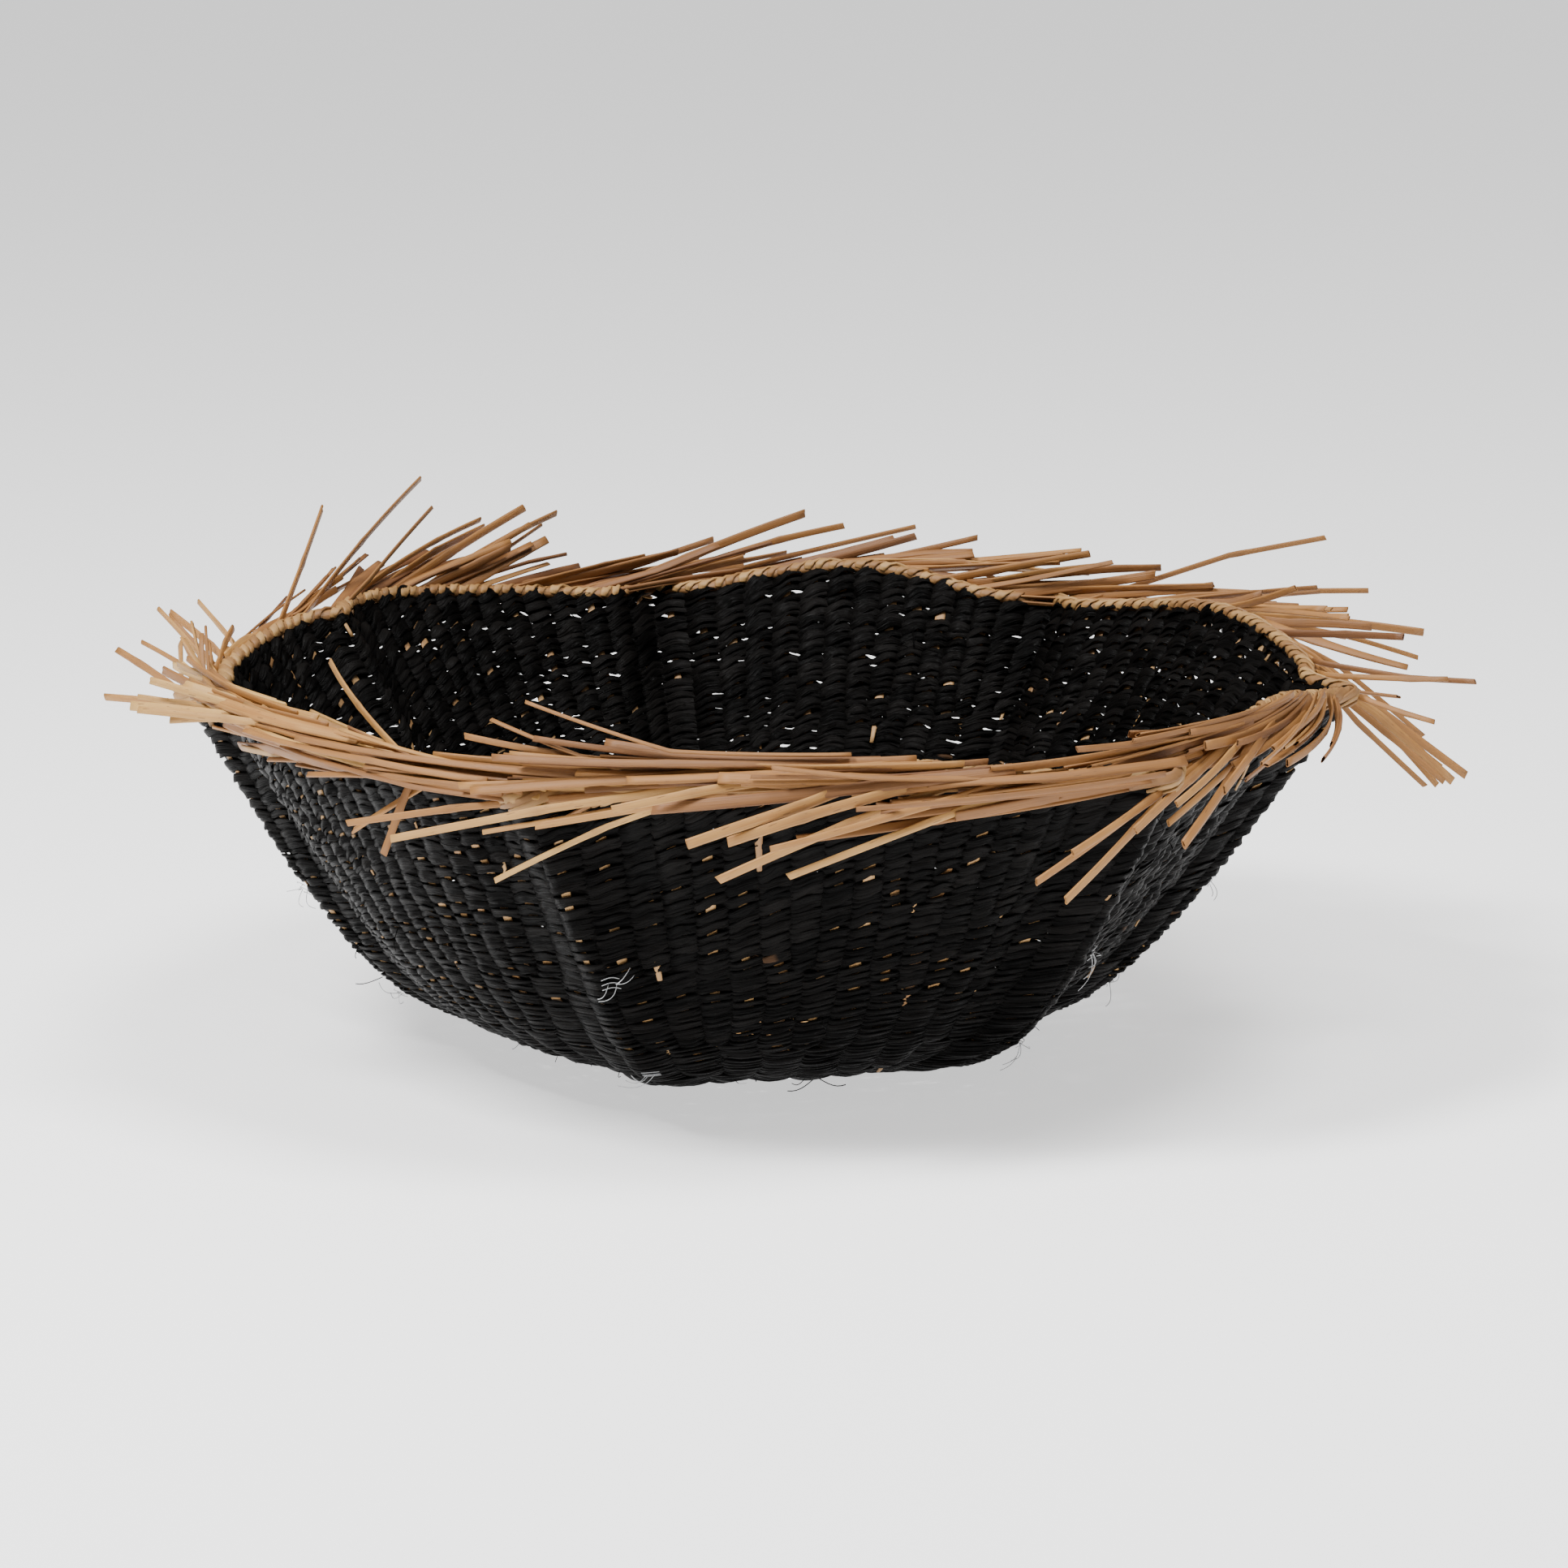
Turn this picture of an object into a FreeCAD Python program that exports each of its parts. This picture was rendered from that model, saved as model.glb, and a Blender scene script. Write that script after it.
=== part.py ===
import FreeCAD, Part
import Sketcher
import math
import os

# Wide twined bowl with six outward pleats in its wall, a straw border and a
# fringe of long stake ends.  Millimetres, +Z up.  The origin is the centre of
# the base's flat underside.  Two skins of twined weft lie one each side of the
# straw stakes, which run from the base's centre up to the border.

# Driving sizes: alias, value, what it is.
SIZES = (
    ("base_radius", 75.0, "flat twined base"),
    ("rim_radius", 246.0, "wall's top, half way between a pleat's crest and its valleys"),
    ("wall_height", 158.0, "base to the top row at a pleat"),
    ("foot_reach", 66.0, "how far the wall runs out before it turns up"),
    ("foot_lift", 13.0, "rise over that run"),
    ("rim_lean", 93.0, "outward lean of the wall's top"),
    ("rim_drop", 131.0, "height over which it leans"),
    ("belly_swell", 20.0, "extra fullness of the lower wall on its full side"),
    ("belly_angle", 239.0, "direction of that full side"),
    ("pleat_depth", 12.5, "crest of a pleat above the wall"),
    ("pleat_width", 12.0, "how fast the crest falls away"),
    ("pleat_round", 5.0, "rounding of the crest"),
    ("pleat_start", 0.25, "share of the wall over which the pleats grow"),
    ("pleat_twist", 5.0, "drift of the front pleat's line half way up, degrees"),
    ("valley_depth", 4.0, "dip each side of a crest"),
    ("valley_offset", 26.0, "crest to dip"),
    ("valley_width", 14.0, "width of the dip"),
    ("panel_bow", 5.0, "how far a panel between pleats sinks in"),
    ("panel_rise", 13.0, "how far a panel's rim stands above a pleat's"),
    ("fold_depth", 13.0, "inward fold of the back left panel"),
    ("fold_angle", 150.0, "direction of that fold"),
    ("pleat_left", 184.0, "pleat directions, degrees"),
    ("pleat_back_left", 103.0, ""),
    ("pleat_back_right", 58.0, ""),
    ("pleat_right", -3.0, ""),
    ("pleat_front_right", -50.0, ""),
    ("pleat_front_left", -113.0, ""),
    ("weft_thickness", 2.0, "one skin of twined strands"),
    ("weft_ridge", 0.7, "how far a row stands out from the joints beside it"),
    ("row_count", 54.0, "rows of weft up the wall"),
    ("band_count", 6.0, "bands that the rows are wound in"),
    ("stake_width", 2.6, ""),
    ("stake_thickness", 1.4, ""),
    ("stake_gap", 0.3, "stake to weft, and band to band"),
    ("base_stake_count", 32.0, "stakes that start at the base's centre"),
    ("base_start_radius", 24.0, "where the base stakes leave the crossed centre"),
    ("cross_share", 0.7, "half width of the crossed bundle, as a share of its reach"),
    ("side_stake_start", 0.12, "share of the wall where the second set starts"),
    ("rim_stake_start", 0.45, "share of the wall where the third set starts"),
    ("border_height", 8.0, "folded straw border above the top row"),
    ("border_thickness", 7.0, ""),
    ("thread_radius", 0.8, "one thread tie"),
    ("tie_half_span", 13.0, "half the length of a tie's stitch"),
    ("knot_radius", 1.8, ""),
    ("upper_tie_level", 0.72, "share of the wall where the upper ties sit"),
    ("lower_tie_level", 0.42, "share of the wall where the lower ties sit"),
    ("stalk_width", 5.0, "one flattened stalk of the fringe"),
    ("stalk_thickness", 1.2, ""),
    ("stalk_clearance", 1.0, "stalk root to border"),
    ("stalk_bend", 6.0, "slight bend half way along a stalk, degrees"),
)

PLEATS = ("left", "back_left", "back_right", "right", "front_right", "front_left")

# Fringe sectors, clockwise from the left: name, first angle, last angle,
# number of stalks, length, sweep (0 along the rim, 90 straight out) and lift
# (angle above level), all angles in degrees.
FRINGE = (
    ("left", 210.0, 168.0, 13, 76.0, 50.0, 20.0),
    ("back_left", 166.0, 128.0, 13, 88.0, 28.0, 34.0),
    ("back", 126.0, 82.0, 13, 104.0, 16.0, 18.0),
    ("back_right", 80.0, 38.0, 13, 108.0, 20.0, 17.0),
    ("right", 36.0, -6.0, 13, 98.0, 46.0, 8.0),
    ("front_right", -8.0, -58.0, 13, 84.0, 30.0, -20.0),
    ("front", -60.0, -108.0, 13, 108.0, 18.0, -12.0),
    ("front_left", -110.0, -148.0, 13, 96.0, 14.0, 4.0),
)

TALLEST_STALK_ANGLE = 22.0
LONG_STALK_SHARE = (1.0, 0.72, 0.88, 0.6, 0.95, 0.78)

# Steps round one panel, along a stake's run in the base and up its wall.
PANEL_STEPS = 14
BASE_STEPS = 10
WALL_STEPS = 20

# Corners of the border's section, as shares of its half thickness and height.
BORDER_CORNERS = ((-1.0, 0.3), (-0.5, 0.0), (0.6, 0.0), (1.0, 0.25),
                  (1.0, 0.75), (0.3, 1.0), (-0.6, 1.0))

doc = FreeCAD.newDocument("twined_bowl")
sheet = doc.addObject("Spreadsheet::Sheet", "Sizes")
for row, (alias, value, meaning) in enumerate(SIZES, start=1):
    sheet.set(f"A{row}", alias)
    sheet.set(f"B{row}", str(value))
    sheet.set(f"C{row}", meaning)
    sheet.setAlias(f"B{row}", alias)
doc.recompute()


def size(alias):
    """Return one driving size from the sheet."""
    return float(getattr(sheet, alias))


def turn_between(first, second):
    """Return the signed turn from the second direction to the first."""
    return (first - second + 180.0) % 360.0 - 180.0


def smooth_step(share):
    """Return a smooth rise from 0 to 1."""
    share = min(max(share, 0.0), 1.0)
    return share * share * (3.0 - 2.0 * share)


def profile(level):
    """Return radius, height and outward normal of the plain wall at a level."""
    foot = (size("base_radius"), 0.0)
    run = (foot[0] + size("foot_reach"), size("foot_lift"))
    rim = (size("rim_radius"), size("wall_height"))
    lean = (rim[0] - size("rim_lean"), rim[1] - size("rim_drop"))
    rest = 1.0 - level
    weights = (rest**3, 3 * level * rest**2, 3 * level**2 * rest, level**3)
    slopes = (3 * rest**2, 6 * level * rest, 3 * level**2)
    points = (foot, run, lean, rim)
    radius = sum(w * p[0] for w, p in zip(weights, points))
    height = sum(w * p[1] for w, p in zip(weights, points))
    out = sum(w * (b[0] - a[0]) for w, a, b in zip(slopes, points, points[1:]))
    up = sum(w * (b[1] - a[1]) for w, a, b in zip(slopes, points, points[1:]))
    span = math.hypot(out, up)
    return radius, height, (up / span, -out / span)


def crest(distance):
    """Return the share of a pleat's height at a distance from its line."""
    rounding = size("pleat_round")
    return math.exp((rounding - math.hypot(distance, rounding)) / size("pleat_width"))


def valley(distance):
    """Return the share of the dip beside a pleat at a distance from its line."""
    return math.exp(-((distance - size("valley_offset")) / size("valley_width")) ** 2)


def panel_share(angle):
    """Return how far round its panel a direction is, from 0 to 1."""
    lines = sorted(size(f"pleat_{name}") % 360.0 for name in PLEATS)
    lines.append(lines[0] + 360.0)
    place = angle % 360.0
    if place < lines[0]:
        place += 360.0
    for start, end in zip(lines, lines[1:]):
        if start <= place <= end:
            return (place - start) / (end - start)
    return 0.0


def pleat_drift(angle, level):
    """Return how far the front pleat's line has drifted round, in degrees."""
    front = max(0.0, math.cos(math.radians(angle - size("pleat_front_left"))))
    half_way_share = 4.0 * level * (1.0 - level)
    return size("pleat_twist") * half_way_share * front


def wall_point(angle, level, offset):
    """Return a point on the pleated wall.

    level runs from 0 at the base's edge to 1 at the top row, and offset is
    measured outward from the middle of the stakes.
    """
    radius, height, normal = profile(level)
    looked_up = angle - pleat_drift(angle, level)
    fade = smooth_step(level / size("pleat_start"))
    swell = 0.0
    for name in PLEATS:
        turn = math.radians(abs(turn_between(looked_up, size(f"pleat_{name}"))))
        swell += size("pleat_depth") * crest(turn * radius) * fade
        swell -= size("valley_depth") * valley(turn * radius) * fade
    fold_turn = math.radians(abs(turn_between(looked_up, size("fold_angle"))))
    swell -= size("fold_depth") * crest(fold_turn * radius) * level**2
    bowed = math.sin(math.pi * panel_share(looked_up)) ** 2
    swell -= size("panel_bow") * bowed * fade
    full_side = max(0.0, math.cos(math.radians(angle - size("belly_angle"))))
    swell += size("belly_swell") * full_side * math.sin(math.pi * level)
    height += size("panel_rise") * bowed * level**2
    radius += swell + offset * normal[0]
    height += offset * normal[1] + middle_height()
    turn = math.radians(angle)
    return FreeCAD.Vector(radius * math.cos(turn), radius * math.sin(turn), height)


def middle_height():
    """Return the height of the stakes' middle above the base's underside."""
    return size("weft_thickness") + size("stake_gap") + size("stake_thickness") / 2.0


def skin_near():
    """Return the offset of a weft skin's face beside the stakes."""
    return size("stake_thickness") / 2.0 + size("stake_gap")


def skin_far():
    """Return the offset of a weft skin's outside face."""
    return skin_near() + size("weft_thickness")


def ring_angles():
    """Return directions round the wall, closer together beside each pleat."""
    lines = [size(f"pleat_{name}") % 360.0 for name in PLEATS]
    lines.append(size("fold_angle"))
    lines.sort()
    lines.append(lines[0] + 360.0)
    angles = []
    for start, end in zip(lines, lines[1:]):
        for step in range(PANEL_STEPS):
            even = step / PANEL_STEPS
            crowded = 0.5 - 0.5 * math.cos(math.pi * even)
            angles.append(start + (end - start) * (even + crowded) / 2.0)
    return angles


RING_ANGLES = ring_angles()


def ring_edge(level, offset, lift=0.0):
    """Return a closed smooth edge round the wall."""
    points = [wall_point(angle, level, offset) for angle in RING_ANGLES]
    points = [point + FreeCAD.Vector(0, 0, lift) for point in points]
    curve = Part.BSplineCurve()
    parameters = RING_ANGLES + [RING_ANGLES[0] + 360.0]
    curve.interpolate(Points=points, PeriodicFlag=True, Parameters=parameters)
    return curve.toShape()


def closed_solid(faces):
    """Return the solid inside a closed set of faces."""
    shell = Part.Compound(faces)
    shell.sewShape()
    solid = Part.makeSolid(Part.makeShell(shell.Faces))
    if solid.Volume < 0.0:
        solid.reverse()
    return solid


def ring_solid(edges):
    """Return the ring whose section has one corner on each closed edge."""
    pairs = zip(edges, edges[1:] + edges[:1])
    return closed_solid([Part.makeRuledSurface(a, b) for a, b in pairs])


def strip_solid(corners):
    """Return the bar whose four long edges pass through four lists of points."""
    edges = []
    for points in corners:
        curve = Part.BSplineCurve()
        curve.interpolate(Points=points)
        edges.append(curve.toShape())
    faces = [Part.makeRuledSurface(a, b) for a, b in zip(edges, edges[1:] + edges[:1])]
    for end in (0, -1):
        tips = [points[end] for points in corners]
        near = Part.makeLine(tips[0], tips[1])
        far = Part.makeLine(tips[3], tips[2])
        faces.append(Part.makeRuledSurface(near, far))
    return closed_solid(faces)


def add_feature(label, shape):
    """Add one sub-part whose shape is set in code."""
    feature = doc.addObject("Part::Feature", label)
    feature.Label = label
    feature.Shape = shape
    feature.Placement = FreeCAD.Placement()
    return feature


def origin_plane(body, role):
    """Return one of a body's own origin planes."""
    return next(item for item in body.Origin.OriginFeatures if item.Role == role)


def base_disc(label, bottom_expression):
    """Add one flat disc of the base's weft as a padded circle."""
    body = doc.addObject("PartDesign::Body", label)
    body.Label = label
    sketch = body.newObject("Sketcher::SketchObject", f"{label}_outline")
    sketch.AttachmentSupport = [(origin_plane(body, "XY_Plane"), "")]
    sketch.MapMode = "FlatFace"
    centre = FreeCAD.Vector(0, 0, 0)
    sketch.addGeometry(Part.Circle(centre, FreeCAD.Vector(0, 0, 1), size("base_radius")))
    sketch.addConstraint(Sketcher.Constraint("Coincident", 0, 3, -1, 1))
    radius = sketch.addConstraint(Sketcher.Constraint("Radius", 0, size("base_radius")))
    sketch.setExpression(f"Constraints[{radius}]", "Sizes.base_radius - 2 * Sizes.stake_gap")
    sketch.setExpression("AttachmentOffset.Base.z", bottom_expression)
    pad = body.newObject("PartDesign::Pad", f"{label}_pad")
    pad.Profile = sketch
    pad.setExpression("Length", "Sizes.weft_thickness")
    doc.recompute()
    body.Placement = FreeCAD.Placement()
    return body


def base_cross(label, upper):
    """Add one layer of the reeds that cross at the base's centre."""
    reach = size("base_start_radius") - size("stake_width")
    pitch = size("stake_width") + size("stake_gap")
    thickness = (size("stake_thickness") - size("stake_gap") / 2.0) / 2.0
    bottom = middle_height() - size("stake_thickness") / 2.0
    if upper:
        bottom += size("stake_thickness") - thickness
    count = 2 * int(size("cross_share") * reach / pitch)
    reeds = []
    for index in range(count):
        across = (index - (count - 1) / 2.0) * pitch
        along = math.sqrt(reach**2 - (abs(across) + pitch / 2.0) ** 2)
        reed = Part.makeBox(2.0 * along, size("stake_width"), thickness)
        reed.translate(FreeCAD.Vector(-along, across - size("stake_width") / 2.0, bottom))
        if upper:
            reed.rotate(FreeCAD.Vector(0, 0, 0), FreeCAD.Vector(0, 0, 1), 90.0)
        reeds.append(reed)
    return add_feature(label, Part.Compound(reeds))


def stake_corner(angle, side, offset, start_level, in_base):
    """Return points along one long edge of a stake."""
    half = size("stake_width") / 2.0
    points = []
    if in_base:
        for step in range(BASE_STEPS):
            radius = size("base_start_radius")
            radius += (size("base_radius") - radius) * step / BASE_STEPS
            turn = math.radians(angle) + side * half / radius
            height = middle_height() - offset
            points.append(FreeCAD.Vector(radius * math.cos(turn), radius * math.sin(turn), height))
    top_level = 1.0 - size("stake_gap") / size("wall_height")
    for step in range(WALL_STEPS + 1):
        level = start_level + (top_level - start_level) * step / WALL_STEPS
        radius = profile(level)[0]
        turn = angle + math.degrees(side * half / radius)
        points.append(wall_point(turn, level, offset))
    return points


def stake_set(label, count, first_angle, start_level, in_base=False):
    """Add one set of evenly spaced stakes as separate solids in one group."""
    half = size("stake_thickness") / 2.0
    stakes = []
    for index in range(count):
        angle = first_angle + 360.0 * index / count
        corners = [stake_corner(angle, side, offset, start_level, in_base)
                   for side, offset in ((-1, -half), (1, -half), (1, half), (-1, half))]
        stakes.append(strip_solid(corners))
    return add_feature(label, Part.Compound(stakes))


def weft_band(label, band, side):
    """Add one band of weft rows, outside (side 1) or inside (side -1) the stakes."""
    rows = int(size("row_count") // size("band_count"))
    total = rows * int(size("band_count"))
    trim = size("stake_gap") / 2.0 / (size("wall_height") + size("rim_radius") - size("base_radius"))
    start = band * rows / total + trim
    end = (band + 1) * rows / total - trim
    ridge = size("weft_ridge")
    edges = []
    for step in range(2 * rows + 1):
        level = start + (end - start) * step / (2 * rows)
        offset = skin_far() if step % 2 else skin_far() - ridge
        edges.append(ring_edge(level, side * offset))
    for step in range(rows, -1, -1):
        level = start + (end - start) * step / rows
        edges.append(ring_edge(level, side * skin_near()))
    return add_feature(label, ring_solid(edges))


def rim_border(label):
    """Add the folded straw border that sits on the top row."""
    half = size("border_thickness") / 2.0
    tall = size("border_height")
    gap = size("stake_gap")
    edges = [ring_edge(1.0, across * half, gap + border_seat() + up * tall)
             for across, up in BORDER_CORNERS]
    return add_feature(label, ring_solid(edges))


def border_seat():
    """Return the height of the border's seat over the middle of the top row."""
    normal = profile(1.0)[2]
    return skin_far() * abs(normal[1])


def fringe_stalk(angle, length, sweep, lift):
    """Return one flattened stalk that leaves the border's outside.

    It runs clockwise round the rim, turned out by sweep and up by lift, with
    its flat side facing outward and a slight bend half way along.
    """
    turn = math.radians(angle)
    outward = FreeCAD.Vector(math.cos(turn), math.sin(turn), 0)
    onward = FreeCAD.Vector(math.sin(turn), -math.cos(turn), 0)
    upward = FreeCAD.Vector(0, 0, 1)
    out = math.radians(sweep)
    up = math.radians(lift)
    level_run = onward * math.cos(out) + outward * math.sin(out)
    run = level_run * math.cos(up) + upward * math.sin(up)
    face = outward * math.cos(out) - onward * math.sin(out)
    edge = run.cross(face)
    edge.normalize()
    half_border = size("border_thickness") / 2.0
    clear = half_border + size("stalk_clearance") + size("stalk_width") / 2.0
    mid_border = border_seat() + size("border_height") / 2.0
    root = wall_point(angle, 1.0, 0.0) + outward * clear + upward * mid_border
    bend = length * math.tan(math.radians(size("stalk_bend"))) / 4.0
    path = (root, root + run * (length / 2.0) + face * bend, root + run * length)
    half_wide = size("stalk_width") / 2.0
    half_thick = size("stalk_thickness") / 2.0
    corners = []
    for wide, thick in ((-1, -1), (1, -1), (1, 1), (-1, 1)):
        shift = edge * (wide * half_wide) + face * (thick * half_thick)
        corners.append([point + shift for point in path])
    return strip_solid(corners)


def fringe_sector(name, first, last, count, length, sweep, lift):
    """Add the stalks of one sector of the fringe as separate solids."""
    stalks = []
    for index in range(count):
        angle = first + (last - first) * index / (count - 1)
        share = LONG_STALK_SHARE[index % len(LONG_STALK_SHARE)]
        near_tallest = abs(angle - TALLEST_STALK_ANGLE) < (first - last) / count
        steep = 2.0 * lift + 12.0 if near_tallest and share > 0.9 else lift
        stalks.append(fringe_stalk(angle, length * share, sweep, steep))
    return add_feature(f"fringe_{name}", Part.Compound(stalks))


def pleat_tie(place, name, level):
    """Add one thread tie: a stitch across the pleat inside and a knot outside."""
    label = f"{place}_tie_{name}"
    angle = size(f"pleat_{name}")
    angle += pleat_drift(angle, level)
    reach = math.degrees(size("tie_half_span") / profile(level)[0])
    clear = skin_far() + size("thread_radius") + 2.0 * size("stake_gap")
    ends = [wall_point(angle + side * reach, level, -clear) for side in (-1, 1)]
    stitch = doc.addObject("Part::Cylinder", f"{label}_stitch")
    stitch.setExpression("Radius", "Sizes.thread_radius")
    stitch.Height = (ends[1] - ends[0]).Length
    along = FreeCAD.Rotation(FreeCAD.Vector(0, 0, 1), ends[1] - ends[0])
    stitch.Placement = FreeCAD.Placement(ends[0], along)
    knot = doc.addObject("Part::Sphere", f"{label}_knot")
    knot.setExpression("Radius", "Sizes.knot_radius")
    outside = skin_far() + size("knot_radius") + size("stake_gap")
    knot.Placement = FreeCAD.Placement(wall_point(angle, level, outside), FreeCAD.Rotation())
    tie = doc.addObject("Part::Compound", label)
    tie.Label = label
    tie.Links = [stitch, knot]
    doc.recompute()
    tie.Placement = FreeCAD.Placement()
    return tie


nodes = [
    base_disc("base_weft_under", "0 mm"),
    base_disc("base_weft_top", "Sizes.weft_thickness + 2 * Sizes.stake_gap + Sizes.stake_thickness"),
    base_cross("base_cross_lower", upper=False),
    base_cross("base_cross_upper", upper=True),
]

first_count = int(size("base_stake_count"))
pitch_angle = 360.0 / first_count
nodes.append(stake_set("base_stakes", first_count, 0.0, 0.0, in_base=True))
nodes.append(stake_set("side_stakes", first_count, pitch_angle / 2.0, size("side_stake_start")))
nodes.append(stake_set("rim_stakes", 2 * first_count, pitch_angle / 4.0, size("rim_stake_start")))

for band in range(int(size("band_count"))):
    nodes.append(weft_band(f"outer_weft_{band + 1}", band, 1))
    nodes.append(weft_band(f"inner_weft_{band + 1}", band, -1))

nodes.append(rim_border("rim_border"))
for sector in FRINGE:
    nodes.append(fringe_sector(*sector))
for pleat in PLEATS:
    nodes.append(pleat_tie("upper", pleat, size("upper_tie_level")))
    nodes.append(pleat_tie("lower", pleat, size("lower_tie_level")))

doc.recompute()
for item in doc.Objects:
    if {"Invalid", "Error"} & set(item.State):
        raise RuntimeError(f"{item.Label} did not recompute: {item.State}")
for node in nodes:
    if node.Shape.isNull() or not node.Shape.isValid():
        raise RuntimeError(f"{node.Label} has no valid shape")
    if any(solid.Volume <= 0.0 for solid in node.Shape.Solids) or not node.Shape.Solids:
        raise RuntimeError(f"{node.Label} has a solid that is not closed")

os.makedirs("parts", exist_ok=True)
for node in nodes:
    node.Shape.exportStep(f"parts/{node.Label}.step")
    print(node.Label, len(node.Shape.Solids), round(node.Shape.Volume / 1000.0, 2), "cm3")
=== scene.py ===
import logging
import math
from dataclasses import dataclass, field
from enum import Enum

import bpy
import numpy as np
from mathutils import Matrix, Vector


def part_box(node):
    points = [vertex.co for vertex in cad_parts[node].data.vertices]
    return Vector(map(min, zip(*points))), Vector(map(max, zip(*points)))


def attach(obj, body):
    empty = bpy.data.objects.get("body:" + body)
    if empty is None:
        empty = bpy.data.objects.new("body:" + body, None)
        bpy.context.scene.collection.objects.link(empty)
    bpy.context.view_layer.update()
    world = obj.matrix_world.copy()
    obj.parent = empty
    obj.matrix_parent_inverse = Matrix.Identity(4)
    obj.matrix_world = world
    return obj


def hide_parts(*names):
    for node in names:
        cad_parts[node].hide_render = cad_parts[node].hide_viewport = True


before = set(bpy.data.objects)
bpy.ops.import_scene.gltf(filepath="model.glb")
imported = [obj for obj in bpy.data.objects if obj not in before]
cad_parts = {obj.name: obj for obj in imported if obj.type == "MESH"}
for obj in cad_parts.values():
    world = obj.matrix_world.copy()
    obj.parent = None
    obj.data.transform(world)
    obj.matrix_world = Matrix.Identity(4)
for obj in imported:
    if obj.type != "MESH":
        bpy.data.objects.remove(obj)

"""A wide twined bowl: black leaf strips on straw stakes, six tied pleats in the
wall, a folded straw border and a ragged fringe of stake ends.  Metres, +Z up."""

LOG = logging.getLogger("basket")
MM = 0.001
TAU = 2.0 * math.pi
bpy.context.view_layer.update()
ROOT = "root"


class Slot(Enum):
    """The record's material slots."""

    WEFT = "black_weft"
    STAKE = "straw_stake"
    BORDER = "straw_border"
    FRINGE = "fringe_straw"
    THREAD = "clear_thread"


class Pleat(Enum):
    """The six pleats and their directions in degrees, seen from above."""

    LEFT = 184.0
    BACK_LEFT = 103.0
    BACK_RIGHT = 58.0
    RIGHT = -3.0
    FRONT_RIGHT = -50.0
    FRONT_LEFT = -113.0


def smooth(share: np.ndarray) -> np.ndarray:
    """Return a smooth rise from 0 to 1 for shares from 0 to 1."""
    share = np.clip(share, 0.0, 1.0)
    return share * share * (3.0 - 2.0 * share)


def unit(vectors: np.ndarray) -> np.ndarray:
    """Return the vectors at length one."""
    return vectors / np.maximum(np.linalg.norm(vectors, axis=-1, keepdims=True), 1e-12)


def turn_between(first: np.ndarray, second: float) -> np.ndarray:
    """Return the unsigned turn between directions in degrees, in radians."""
    return np.radians(np.abs((first - second + 180.0) % 360.0 - 180.0))


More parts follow.
